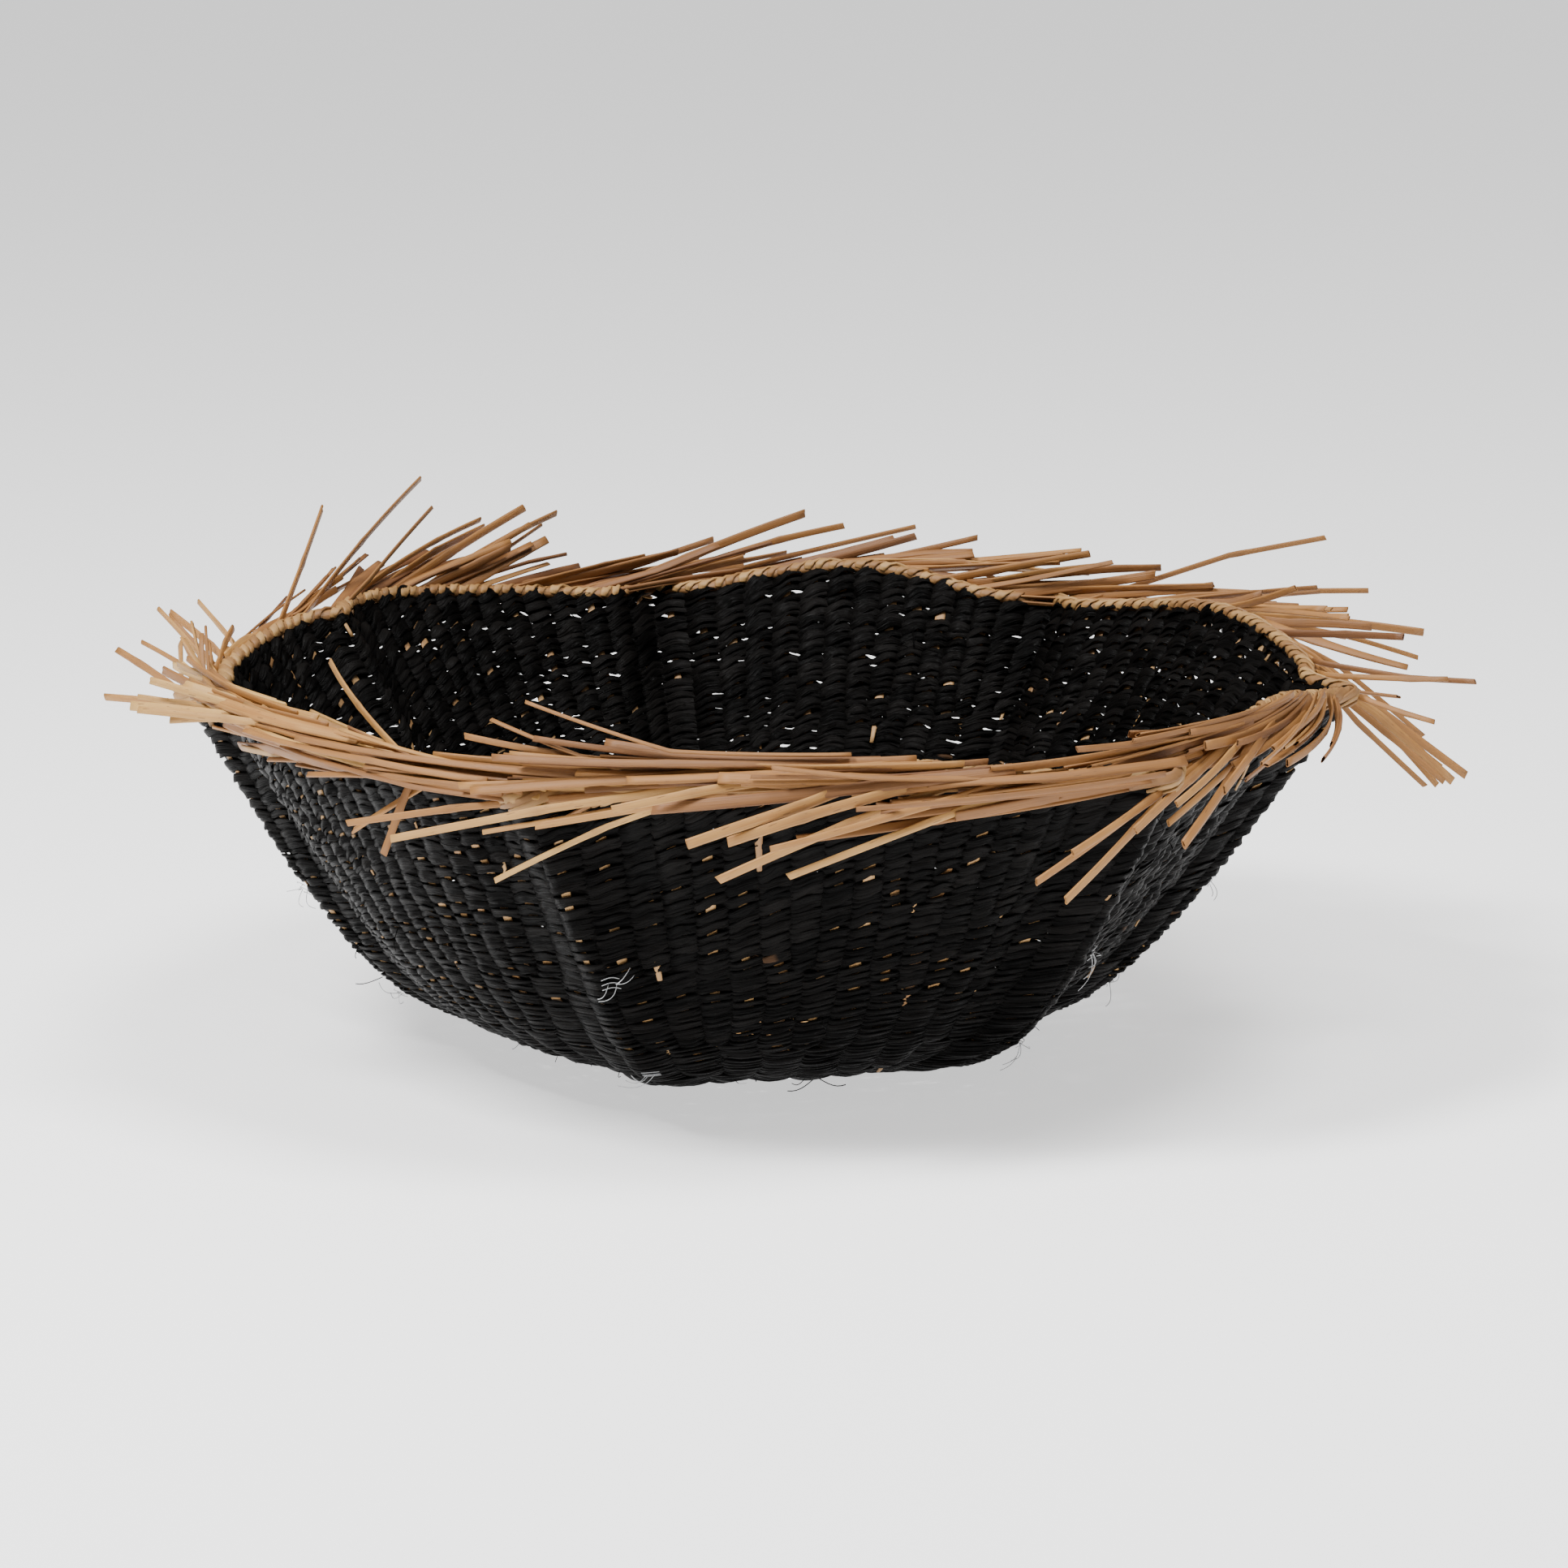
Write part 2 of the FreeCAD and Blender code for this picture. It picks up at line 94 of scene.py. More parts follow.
@dataclass
class Wall:
    """The pleated surface that rows, stakes, border and ties are laid on.

    A level runs from -1 at the base's centre through 0 at its edge to 1 at the
    top row.  Directions are in degrees.
    """

    scale: float = 1.0
    base_radius: float = 75.0
    rim_radius: float = 246.0
    height: float = 158.0
    foot_reach: float = 66.0
    foot_lift: float = 13.0
    rim_lean: float = 93.0
    rim_drop: float = 131.0
    middle_height: float = 3.0
    belly_swell: float = 20.0
    belly_angle: float = 239.0
    pleat_depth: float = 13.5
    pleat_width: float = 12.0
    pleat_round: float = 4.0
    pleat_start: float = 0.25
    pleat_twist: float = 5.0
    valley_depth: float = 5.0
    valley_offset: float = 26.0
    valley_width: float = 14.0
    panel_bow: float = 5.0
    panel_rise: float = 13.0
    fold_depth: float = 13.0
    fold_angle: float = 150.0

    def profile(self, level: np.ndarray) -> tuple[np.ndarray, np.ndarray]:
        """Work out the plain wall before its pleats.

        Args:
            level: Places up the wall.

        Returns:
            Radius and height in millimetres.
        """
        climb = np.clip(level, 0.0, None)
        rest = 1.0 - climb
        weights = (rest**3, 3 * climb * rest**2, 3 * climb**2 * rest, climb**3)
        across = (self.base_radius, self.base_radius + self.foot_reach,
                  self.rim_radius - self.rim_lean, self.rim_radius)
        rise = (0.0, self.foot_lift, self.height - self.rim_drop, self.height)
        radius = sum(w * a for w, a in zip(weights, across))
        height = sum(w * a for w, a in zip(weights, rise))
        radius = np.where(level < 0.0, self.base_radius * (1.0 + level), radius)
        return radius, height

    def point(self, angle: np.ndarray, level: np.ndarray) -> np.ndarray:
        """Place points on the pleated surface.

        Args:
            angle: Directions in degrees.
            level: Places up the wall.

        Returns:
            Points in metres, one row each.
        """
        angle, level = np.broadcast_arrays(np.asarray(angle, float), np.asarray(level, float))
        radius, height = self.profile(level)
        climb = np.clip(level, 0.0, 1.05)
        front = np.clip(np.cos(np.radians(angle - Pleat.FRONT_LEFT.value)), 0.0, None)
        looked_up = angle - self.pleat_twist * 4.0 * climb * (1.0 - climb) * front
        fade = smooth(climb / self.pleat_start)
        swell = np.zeros_like(radius)
        for pleat in Pleat:
            away = turn_between(looked_up, pleat.value) * radius
            swell = swell + self.pleat_depth * self.crest(away) * fade
            dip = np.exp(-((away - self.valley_offset) / self.valley_width) ** 2)
            swell = swell - self.valley_depth * dip * fade
        away = turn_between(looked_up, self.fold_angle) * radius
        swell = swell - self.fold_depth * self.crest(away) * climb**2
        bowed = np.sin(math.pi * self.panel_share(looked_up)) ** 2
        swell = swell - self.panel_bow * bowed * fade
        full = np.clip(np.cos(np.radians(angle - self.belly_angle)), 0.0, None)
        swell = swell + self.belly_swell * full * np.sin(math.pi * climb)
        height = height + self.panel_rise * bowed * climb**2 + self.middle_height
        radius = radius + swell
        turn = np.radians(angle)
        spot = np.stack((radius * np.cos(turn), radius * np.sin(turn), height), axis=-1)
        return spot * MM * self.scale

    def crest(self, away: np.ndarray) -> np.ndarray:
        """Return the share of a pleat's height at distances from its line."""
        return np.exp((self.pleat_round - np.hypot(away, self.pleat_round)) / self.pleat_width)

    def panel_share(self, angle: np.ndarray) -> np.ndarray:
        """Work out how far round its panel each direction is.

        Args:
            angle: Directions in degrees.

        Returns:
            Shares of the panel, from 0 to 1.
        """
        lines = np.sort([pleat.value % 360.0 for pleat in Pleat])
        lines = np.append(lines, lines[0] + 360.0)
        place = (angle - lines[0]) % 360.0 + lines[0]
        which = np.clip(np.searchsorted(lines, place, side="right") - 1, 0, len(lines) - 2)
        return (place - lines[which]) / (lines[which + 1] - lines[which])

    def axes(self, angle: np.ndarray, level: np.ndarray) -> tuple[np.ndarray, ...]:
        """Work out the surface's own directions.

        Args:
            angle: Directions in degrees.
            level: Places up the wall.

        Returns:
            The points, and unit vectors outward, up the wall and along a row.
        """
        here = self.point(angle, level)
        step = 0.002
        up = unit(self.point(angle, level + step) - self.point(angle, level - step))
        along = unit(self.point(angle + 0.4, level) - self.point(angle - 0.4, level))
        out = unit(np.cross(along, up))
        return here, out, unit(np.cross(out, along)), along

    def pitch(self, angle: np.ndarray, level: np.ndarray) -> np.ndarray:
        """Measure how much wall there is for each unit of level.

        Args:
            angle: Directions in degrees.
            level: Places up the wall.

        Returns:
            Metres of wall per unit of level.
        """
        step = 0.004
        span = self.point(angle, level + step) - self.point(angle, level - step)
        return np.linalg.norm(span, axis=-1) / (2.0 * step)

    def edge_line(self, pleat: Pleat, level: float) -> float:
        """Return the direction of a pleat's line at one level."""
        front = max(0.0, math.cos(math.radians(pleat.value - Pleat.FRONT_LEFT.value)))
        return pleat.value + self.pleat_twist * 4.0 * level * (1.0 - level) * front


class Strands:
    """A mesh put together from tubes, with fibre co-ordinates and tones.

    What would reach under the floor is pressed flat on it.
    """

    lowest: float = 0.0002

    def __init__(self) -> None:
        """Start with nothing."""
        self.points: list[np.ndarray] = []
        self.tones: list[np.ndarray] = []
        self.quads: list[np.ndarray] = []
        self.fibres: list[np.ndarray] = []
        self.count = 0

    def tube(self, rings: np.ndarray, tone: np.ndarray, closed: bool = False,
             length: np.ndarray | None = None) -> None:
        """Add one tube.

        Args:
            rings: Sections along the tube, shaped (sections, corners, 3).
            tone: One colour value of four numbers for each section.
            closed: Whether the last section joins the first.
            length: Distance along the tube at each section.
        """
        sections, corners = rings.shape[:2]
        rings[..., 2] = np.maximum(rings[..., 2], self.lowest)
        if length is None:
            middle = rings.mean(axis=1)
            steps = np.linalg.norm(np.diff(middle, axis=0), axis=1)
            length = np.concatenate(([0.0], np.cumsum(steps)))
        spans = sections if closed else sections - 1
        near = np.arange(spans)[:, None]
        far = (near + 1) % sections
        side = np.arange(corners)[None, :]
        other = (side + 1) % corners
        quads = np.stack((near * corners + side, near * corners + other,
                          far * corners + other, far * corners + side), axis=-1)
        self.quads.append(quads.reshape(-1, 4) + self.count)
        ends = np.append(length, length[-1] + (length[-1] - length[-2]))
        lows = np.broadcast_to(ends[:spans, None], (spans, corners))
        highs = np.broadcast_to(ends[1:spans + 1, None], (spans, corners))
        left = np.broadcast_to(side / corners, (spans, corners))
        right = left + 1.0 / corners
        fibre = np.stack((lows, left, lows, right, highs, right, highs, left), axis=-1)
        self.fibres.append(fibre.reshape(-1, 4, 2))
        self.points.append(rings.reshape(-1, 3))
        self.tones.append(np.repeat(tone, corners, axis=0))
        if not closed:
            self.cap(sections, corners)
        self.count += sections * corners

    def thread(self, points: np.ndarray, radius: float, tone: tuple[float, ...]) -> None:
        """Add one fine round thread.

        Args:
            points: The thread's line in metres.
            radius: Its radius in metres.
            tone: One colour value of four numbers.
        """
        tangent = unit(np.gradient(points, axis=0))
        side = unit(np.cross(tangent, np.array((0.31, 0.22, 0.92))))
        other = np.cross(side, tangent)
        turn = TAU * np.arange(6) / 6
        rings = points[:, None, :] + side[:, None, :] * (radius * np.cos(turn))[None, :, None]
        rings = rings + other[:, None, :] * (radius * np.sin(turn))[None, :, None]
        self.tube(rings, np.tile(tone, (len(points), 1)))

    def cap(self, sections: int, corners: int) -> None:
        """Close both ends of the tube that starts at the current count.

        Args:
            sections: How many sections the tube has.
            corners: How many corners each section has.
        """
        half = corners // 2
        for start, flip in ((0, False), ((sections - 1) * corners, True)):
            rows = []
            for step in range(half - 1):
                quad = [start + step, start + step + 1,
                        start + corners - 2 - step, start + corners - 1 - step]
                rows.append(quad if flip else quad[::-1])
            self.quads.append(np.array(rows) + self.count)
            self.fibres.append(np.zeros((len(rows), 4, 2)))

    def build(self, name: str) -> bpy.types.Object:
        """Make the object.

        Args:
            name: The piece's name.

        Returns:
            The new object, smooth shaded and linked to the scene.
        """
        points = np.concatenate(self.points).astype(np.float32)
        quads = np.concatenate(self.quads).astype(np.int32)
        mesh = bpy.data.meshes.new(name)
        mesh.vertices.add(len(points))
        mesh.vertices.foreach_set("co", points.ravel())
        mesh.loops.add(quads.size)
        mesh.loops.foreach_set("vertex_index", quads.ravel())
        mesh.polygons.add(len(quads))
        mesh.polygons.foreach_set("loop_start", np.arange(0, quads.size, 4, dtype=np.int32))
        mesh.polygons.foreach_set("use_smooth", np.ones(len(quads), dtype=bool))
        mesh.update(calc_edges=True)
        fibre = mesh.uv_layers.new(name="Fibre")
        fibre.data.foreach_set("uv", np.concatenate(self.fibres).astype(np.float32).ravel())
        tone = mesh.color_attributes.new(name="Tone", type="FLOAT_COLOR", domain="POINT")
        tone.data.foreach_set("color", np.concatenate(self.tones).astype(np.float32).ravel())
        mesh.validate()
        piece = bpy.data.objects.new(name, mesh)
        bpy.context.scene.collection.objects.link(piece)
        return piece


def oval(corners: int, width: np.ndarray, thickness: np.ndarray, groove: np.ndarray,
         groove_at: np.ndarray) -> tuple[np.ndarray, np.ndarray]:
    """Make flattened oval sections with a lengthwise groove in the outer face.

    Args:
        corners: Corners round a section.
        width: Full width of each section.
        thickness: Full thickness of each section.
        groove: Depth of the groove as a share of the thickness.
        groove_at: Where the groove runs, from -1 to 1 across the face.

    Returns:
        Offsets across and through the strip, shaped (sections, corners).
    """
    turn = TAU * (np.arange(corners) + 0.5) / corners
    across = np.sign(np.cos(turn)) * np.abs(np.cos(turn)) ** 0.85
    through = np.sin(turn)
    sunk = np.exp(-((across[None, :] - groove_at[:, None]) / 0.28) ** 2)
    depth = through[None, :] * (1.0 - groove[:, None] * sunk)
    return across[None, :] * width[:, None] / 2.0, depth * thickness[:, None] / 2.0


# Where the weave is slack: most at the back, some at the side, part way up.
SLACK_BACK_ANGLE = 74.0
SLACK_SIDE_ANGLE = -10.0
SLACK_SIDE = 0.35
SLACK_LEVEL = 0.44
SLACK_REACH = 0.20


def drift(seed: int, angle: np.ndarray, level: float) -> np.ndarray:
    """Work out slow wandering values round a row, mostly between -1 and 1.

    Args:
        seed: Which wander it is.
        angle: Directions in degrees.
        level: How far the wander has leant round by this row.

    Returns:
        One value for each direction.
    """
    rng = np.random.default_rng(seed)
    total = np.zeros_like(angle)
    for waves in (3, 5, 8, 13, 21):
        phase = rng.uniform(0.0, TAU)
        lean = rng.uniform(-9.0, 9.0)
        total = total + np.sin(waves * np.radians(angle) + lean * level + phase) / 2.4
    return total


@dataclass(frozen=True)
class Finish:
    """What the finishes share."""

    name: str
    roughness: float
    specular: float

    def start(self) -> tuple[bpy.types.Material, bpy.types.NodeTree, bpy.types.Node]:
        """Make the material with its shader set up.

        Returns:
            The material, its node tree and its shader node.
        """
        material = bpy.data.materials.new(self.name)
        material.use_nodes = True
        tree = material.node_tree
        shader = tree.nodes["Principled BSDF"]
        shader.inputs["Roughness"].default_value = self.roughness
        shader.inputs["Specular IOR Level"].default_value = self.specular
        return material, tree, shader

    @staticmethod
    def noise(tree: bpy.types.NodeTree, source: bpy.types.NodeSocket, stretch: tuple[float, ...],
              detail: float = 3.0) -> bpy.types.NodeSocket:
        """Add noise drawn out along one direction.

        Args:
            tree: The material's nodes.
            source: The co-ordinates it follows.
            stretch: How many grains per unit in each direction.
            detail: How many finer layers it has.

        Returns:
            The noise value.
        """
        mapping = tree.nodes.new("ShaderNodeMapping")
        mapping.inputs["Scale"].default_value = stretch
        tree.links.new(source, mapping.inputs["Vector"])
        grain = tree.nodes.new("ShaderNodeTexNoise")
        grain.inputs["Scale"].default_value = 1.0
        grain.inputs["Detail"].default_value = detail
        tree.links.new(mapping.outputs["Vector"], grain.inputs["Vector"])
        return grain.outputs["Fac"]

    @staticmethod
    def ramp(tree: bpy.types.NodeTree, source: bpy.types.NodeSocket,
             stops: tuple[tuple[float, tuple[float, float, float]], ...]) -> bpy.types.NodeSocket:
        """Add a colour ramp.

        Args:
            tree: The material's nodes.
            source: The value it follows.
            stops: Places and colours.

        Returns:
            The colour.
        """
        node = tree.nodes.new("ShaderNodeValToRGB")
        while len(node.color_ramp.elements) < len(stops):
            node.color_ramp.elements.new(0.5)
        for element, (place, colour) in zip(node.color_ramp.elements, stops):
            element.position = place
            element.color = (*colour, 1.0)
        tree.links.new(source, node.inputs["Fac"])
        return node.outputs["Color"]

    @staticmethod
    def mix(tree: bpy.types.NodeTree, kind: str, share: bpy.types.NodeSocket | float,
            first: bpy.types.NodeSocket, second: bpy.types.NodeSocket | tuple) -> bpy.types.NodeSocket:
        """Blend two colours.

        Args:
            tree: The material's nodes.
            kind: How they blend.
            share: How much of the second.
            first: The first colour.
            second: The second colour.

        Returns:
            The blended colour.
        """
        node = tree.nodes.new("ShaderNodeMix")
        node.data_type = "RGBA"
        node.blend_type = kind
        for value, socket in ((share, node.inputs[0]), (first, node.inputs[6]),
                              (second, node.inputs[7])):
            if isinstance(value, bpy.types.NodeSocket):
                tree.links.new(value, socket)
            else:
                socket.default_value = value
        return node.outputs[2]

    @staticmethod
    def math(tree: bpy.types.NodeTree, kind: str, first: bpy.types.NodeSocket,
             second: bpy.types.NodeSocket | float) -> bpy.types.NodeSocket:
        """Add one sum on two values.

        Args:
            tree: The material's nodes.
            kind: Which sum it is.
            first: The first value.
            second: The second value, or a number.

        Returns:
            The result.
        """
        node = tree.nodes.new("ShaderNodeMath")
        node.operation = kind
        tree.links.new(first, node.inputs[0])
        if isinstance(second, bpy.types.NodeSocket):
            tree.links.new(second, node.inputs[1])
        else:
            node.inputs[1].default_value = second
        return node.outputs[0]

    @staticmethod
    def bump(tree: bpy.types.NodeTree, shader: bpy.types.Node, height: bpy.types.NodeSocket,
             strength: float, distance: float) -> None:
        """Raise the surface by a height value.

        Args:
            tree: The material's nodes.
            shader: The surface shader.
            height: The height value.
            strength: How strongly the height shows.
            distance: The tallest height in metres.
        """
        node = tree.nodes.new("ShaderNodeBump")
        node.inputs["Strength"].default_value = strength
        node.inputs["Distance"].default_value = distance
        tree.links.new(height, node.inputs["Height"])
        tree.links.new(node.outputs["Normal"], shader.inputs["Normal"])

    @staticmethod
    def sources(tree: bpy.types.NodeTree) -> tuple[bpy.types.NodeSocket, ...]:
        """Add the inputs that every strand has.

        Args:
            tree: The material's nodes.

        Returns:
            The fibre co-ordinates, and the tone's three values.
        """
        fibre = tree.nodes.new("ShaderNodeUVMap")
        fibre.uv_map = "Fibre"
        tone = tree.nodes.new("ShaderNodeAttribute")
        tone.attribute_name = "Tone"
        parts = tree.nodes.new("ShaderNodeSeparateColor")
        tree.links.new(tone.outputs["Color"], parts.inputs["Color"])
        return fibre.outputs["UV"], *parts.outputs[:3]


@dataclass(frozen=True)
class DyedLeaf(Finish):
    """Flat leaf strip dyed black: satin, with fine lengthwise fibres."""

    name: str = "dyed_leaf"
    roughness: float = 0.34
    specular: float = 0.036
    dark: tuple[float, float, float] = (0.0004, 0.00037, 0.00035)
    pale: tuple[float, float, float] = (0.0068, 0.0061, 0.0057)
    faded: tuple[float, float, float] = (0.055, 0.030, 0.016)

    def make(self) -> bpy.types.Material:
        """Mix the finish.

        Returns:
            The finished material.
        """
        material, tree, shader = self.start()
        fibre, tone, stain, _ = self.sources(tree)
        streak = self.noise(tree, fibre, (26.0, 12.0, 1.0), 4.0)
        fine = self.noise(tree, fibre, (80.0, 44.0, 1.0), 2.0)
        mixed = self.math(tree, "MULTIPLY_ADD", streak, 0.55)
        tree.links.new(tone, mixed.node.inputs[2])
        colour = self.ramp(tree, self.math(tree, "MULTIPLY", mixed, 0.8),
                           ((0.2, self.dark), (0.9, self.pale)))
        colour = self.mix(tree, "MIX", stain, colour, (*self.faded, 1.0))
        tree.links.new(colour, shader.inputs["Base Color"])
        rough = self.math(tree, "MULTIPLY_ADD", streak, 0.4)
        rough.node.inputs[2].default_value = self.roughness - 0.2
        tree.links.new(rough, shader.inputs["Roughness"])
        height = self.math(tree, "ADD", streak, self.math(tree, "MULTIPLY", fine, 0.4))
        self.bump(tree, shader, height, 1.0, 0.0009)
        return material


@dataclass(frozen=True)
class Straw(Finish):
    """Dry natural straw: lengthwise streaks, brown flecks and painted shade inside the hollow cut ends."""

    name: str = "straw"
    roughness: float = 0.52
    specular: float = 0.4
    deep: tuple[float, float, float] = (0.16, 0.066, 0.024)
    middle: tuple[float, float, float] = (0.34, 0.155, 0.042)
    pale: tuple[float, float, float] = (0.70, 0.45, 0.15)
    fleck: tuple[float, float, float] = (0.16, 0.075, 0.03)
    fleck_start: float = 0.66

    def make(self) -> bpy.types.Material:
        """Mix the finish.

        Returns:
            The finished material.
        """
        material, tree, shader = self.start()
        fibre, tone, stain, hollow_painted_shade = self.sources(tree)
        streak = self.noise(tree, fibre, (22.0, 34.0, 1.0), 4.0)
        slow = self.noise(tree, fibre, (38.0, 3.0, 1.0), 2.0)
        shade = self.math(tree, "MULTIPLY_ADD", streak, 0.34)
        tree.links.new(tone, shade.node.inputs[2])
        shade = self.math(tree, "ADD", shade, self.math(tree, "MULTIPLY", slow, 0.30))
        shade = self.math(tree, "SUBTRACT", shade, 0.32)
        colour = self.ramp(tree, shade, ((0.0, self.deep), (0.5, self.middle), (1.0, self.pale)))
        fine = self.noise(tree, fibre, (150.0, 12.0, 1.0), 2.0)
        flecks = self.ramp(tree, fine, ((self.fleck_start, (0.0,) * 3),
                                        (self.fleck_start + 0.05, (0.75,) * 3)))
        colour = self.mix(tree, "MIX", flecks, colour, (*self.fleck, 1.0))
        colour = self.mix(tree, "MIX", stain, colour, (*self.fleck, 1.0))
        # Painted shade: the colour inside each hollow cut stalk end is multiplied darker.
        colour = self.mix(tree, "MULTIPLY", hollow_painted_shade, colour, (0.18, 0.13, 0.10, 1.0))
        tree.links.new(colour, shader.inputs["Base Color"])
        rough = self.math(tree, "MULTIPLY_ADD", streak, 0.3)
        rough.node.inputs[2].default_value = self.roughness - 0.15
        tree.links.new(rough, shader.inputs["Roughness"])
        self.bump(tree, shader, streak, 0.45, 0.0006)
        return material


@dataclass(frozen=True)
class Nylon(Finish):
    """Pale clear thread."""

    name: str = "nylon_thread"
    roughness: float = 0.32
    specular: float = 0.5
    colour: tuple[float, float, float] = (0.52, 0.53, 0.54)

    def make(self) -> bpy.types.Material:
        """Mix the finish.

        Returns:
            The finished material.
        """
        material, tree, shader = self.start()
        fibre, _, _, _ = self.sources(tree)
        twist = self.noise(tree, fibre, (900.0, 5.0, 1.0), 2.0)
        bright = tuple(min(1.0, 1.15 * part) for part in self.colour)
        dim = tuple(0.8 * part for part in self.colour)
        tree.links.new(self.ramp(tree, twist, ((0.3, dim), (0.7, bright))),
                       shader.inputs["Base Color"])
        self.bump(tree, shader, twist, 0.3, 0.0002)
        shader.inputs["Transmission Weight"].default_value = 0.25
        return material


def dress(piece: bpy.types.Object, material: bpy.types.Material, slot: Slot,
          *nodes: str) -> bpy.types.Object:
    """Give a piece its finish and its place in the frame.

    Args:
        piece: The piece.
        material: Its finish.
        slot: The record's slot for that finish; not used.
        nodes: The frame's nodes that it stands for.

    Returns:
        The piece.
    """
    piece.data.materials.append(material)
    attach(piece, ROOT)
    if nodes:
        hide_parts(*nodes)
    LOG.info("%s: %d faces", piece.name, len(piece.data.polygons))
    return piece


@dataclass
class StakeLayout:
    """Where the stakes stand at every row, with new ones let in as it widens."""

    wall: Wall
    wall_rows: int = 54
    base_rows: int = 11
    first_count: int = 32
    rim_count: int = 128
    base_start: float = 24.0
    low_pitch: float = 15.6
    rim_pitch: float = 12.4
    levels: np.ndarray = field(init=False)
    angles: list[np.ndarray] = field(init=False)
    tracks: dict[int, list[tuple[int, float]]] = field(init=False)

    def __post_init__(self) -> None:
        """Lay out the rows, then let stakes in row by row."""
        base = np.linspace(self.base_start / self.wall.base_radius - 1.0, 0.0,
                           self.base_rows, endpoint=False) + 0.03
        upper = (np.arange(self.wall_rows) + 0.5) / self.wall_rows
        self.levels = np.concatenate((base, upper))
        rng = np.random.default_rng(11)
        places = [(360.0 * index / self.first_count, index) for index in range(self.first_count)]
        self.angles = []
        self.tracks = {index: [] for index in range(self.first_count)}
        for row, level in enumerate(self.levels):
            radius = float(self.wall.profile(np.array(level))[0])
            closer = float(smooth(np.array((level - 0.35) / 0.4)))
            pitch = self.low_pitch + (self.rim_pitch - self.low_pitch) * closer
            wanted = max(self.first_count, 2 * round(math.pi * radius / pitch))
            while len(places) < wanted:
                self.let_in(places, rng)
            self.even_out(places)
            for angle, index in places:
                self.tracks.setdefault(index, []).append((row, angle))
            self.angles.append(np.array([angle for angle, _ in places]))

    @staticmethod
    def let_in(places: list[tuple[float, int]], rng: np.random.Generator) -> None:
        """Add one stake in one of the widest gaps.

        Args:
            places: Directions and numbers of the stakes so far, changed in place.
            rng: Where its choice comes from.
        """
        turns = np.array([angle for angle, _ in places])
        gaps = np.diff(np.append(turns, turns[0] + 360.0))
        which = int(np.argmax(gaps * rng.uniform(0.85, 1.15, len(gaps))))
        places.insert(which + 1, (turns[which] + gaps[which] / 2.0, len(places)))

    @staticmethod
    def even_out(places: list[tuple[float, int]]) -> None:
        """Ease the stakes towards even gaps, in place.

        Args:
            places: Each stake's direction in degrees and its number.
        """
        turns = np.array([angle for angle, _ in places])
        for _ in range(3):
            before = np.roll(turns, 1)
            before[0] -= 360.0
            after = np.roll(turns, -1)
            after[-1] += 360.0
            turns = turns + 0.3 * ((before + after) / 2.0 - turns)
        places[:] = [(float(turn), index) for turn, (_, index) in zip(turns, places)]


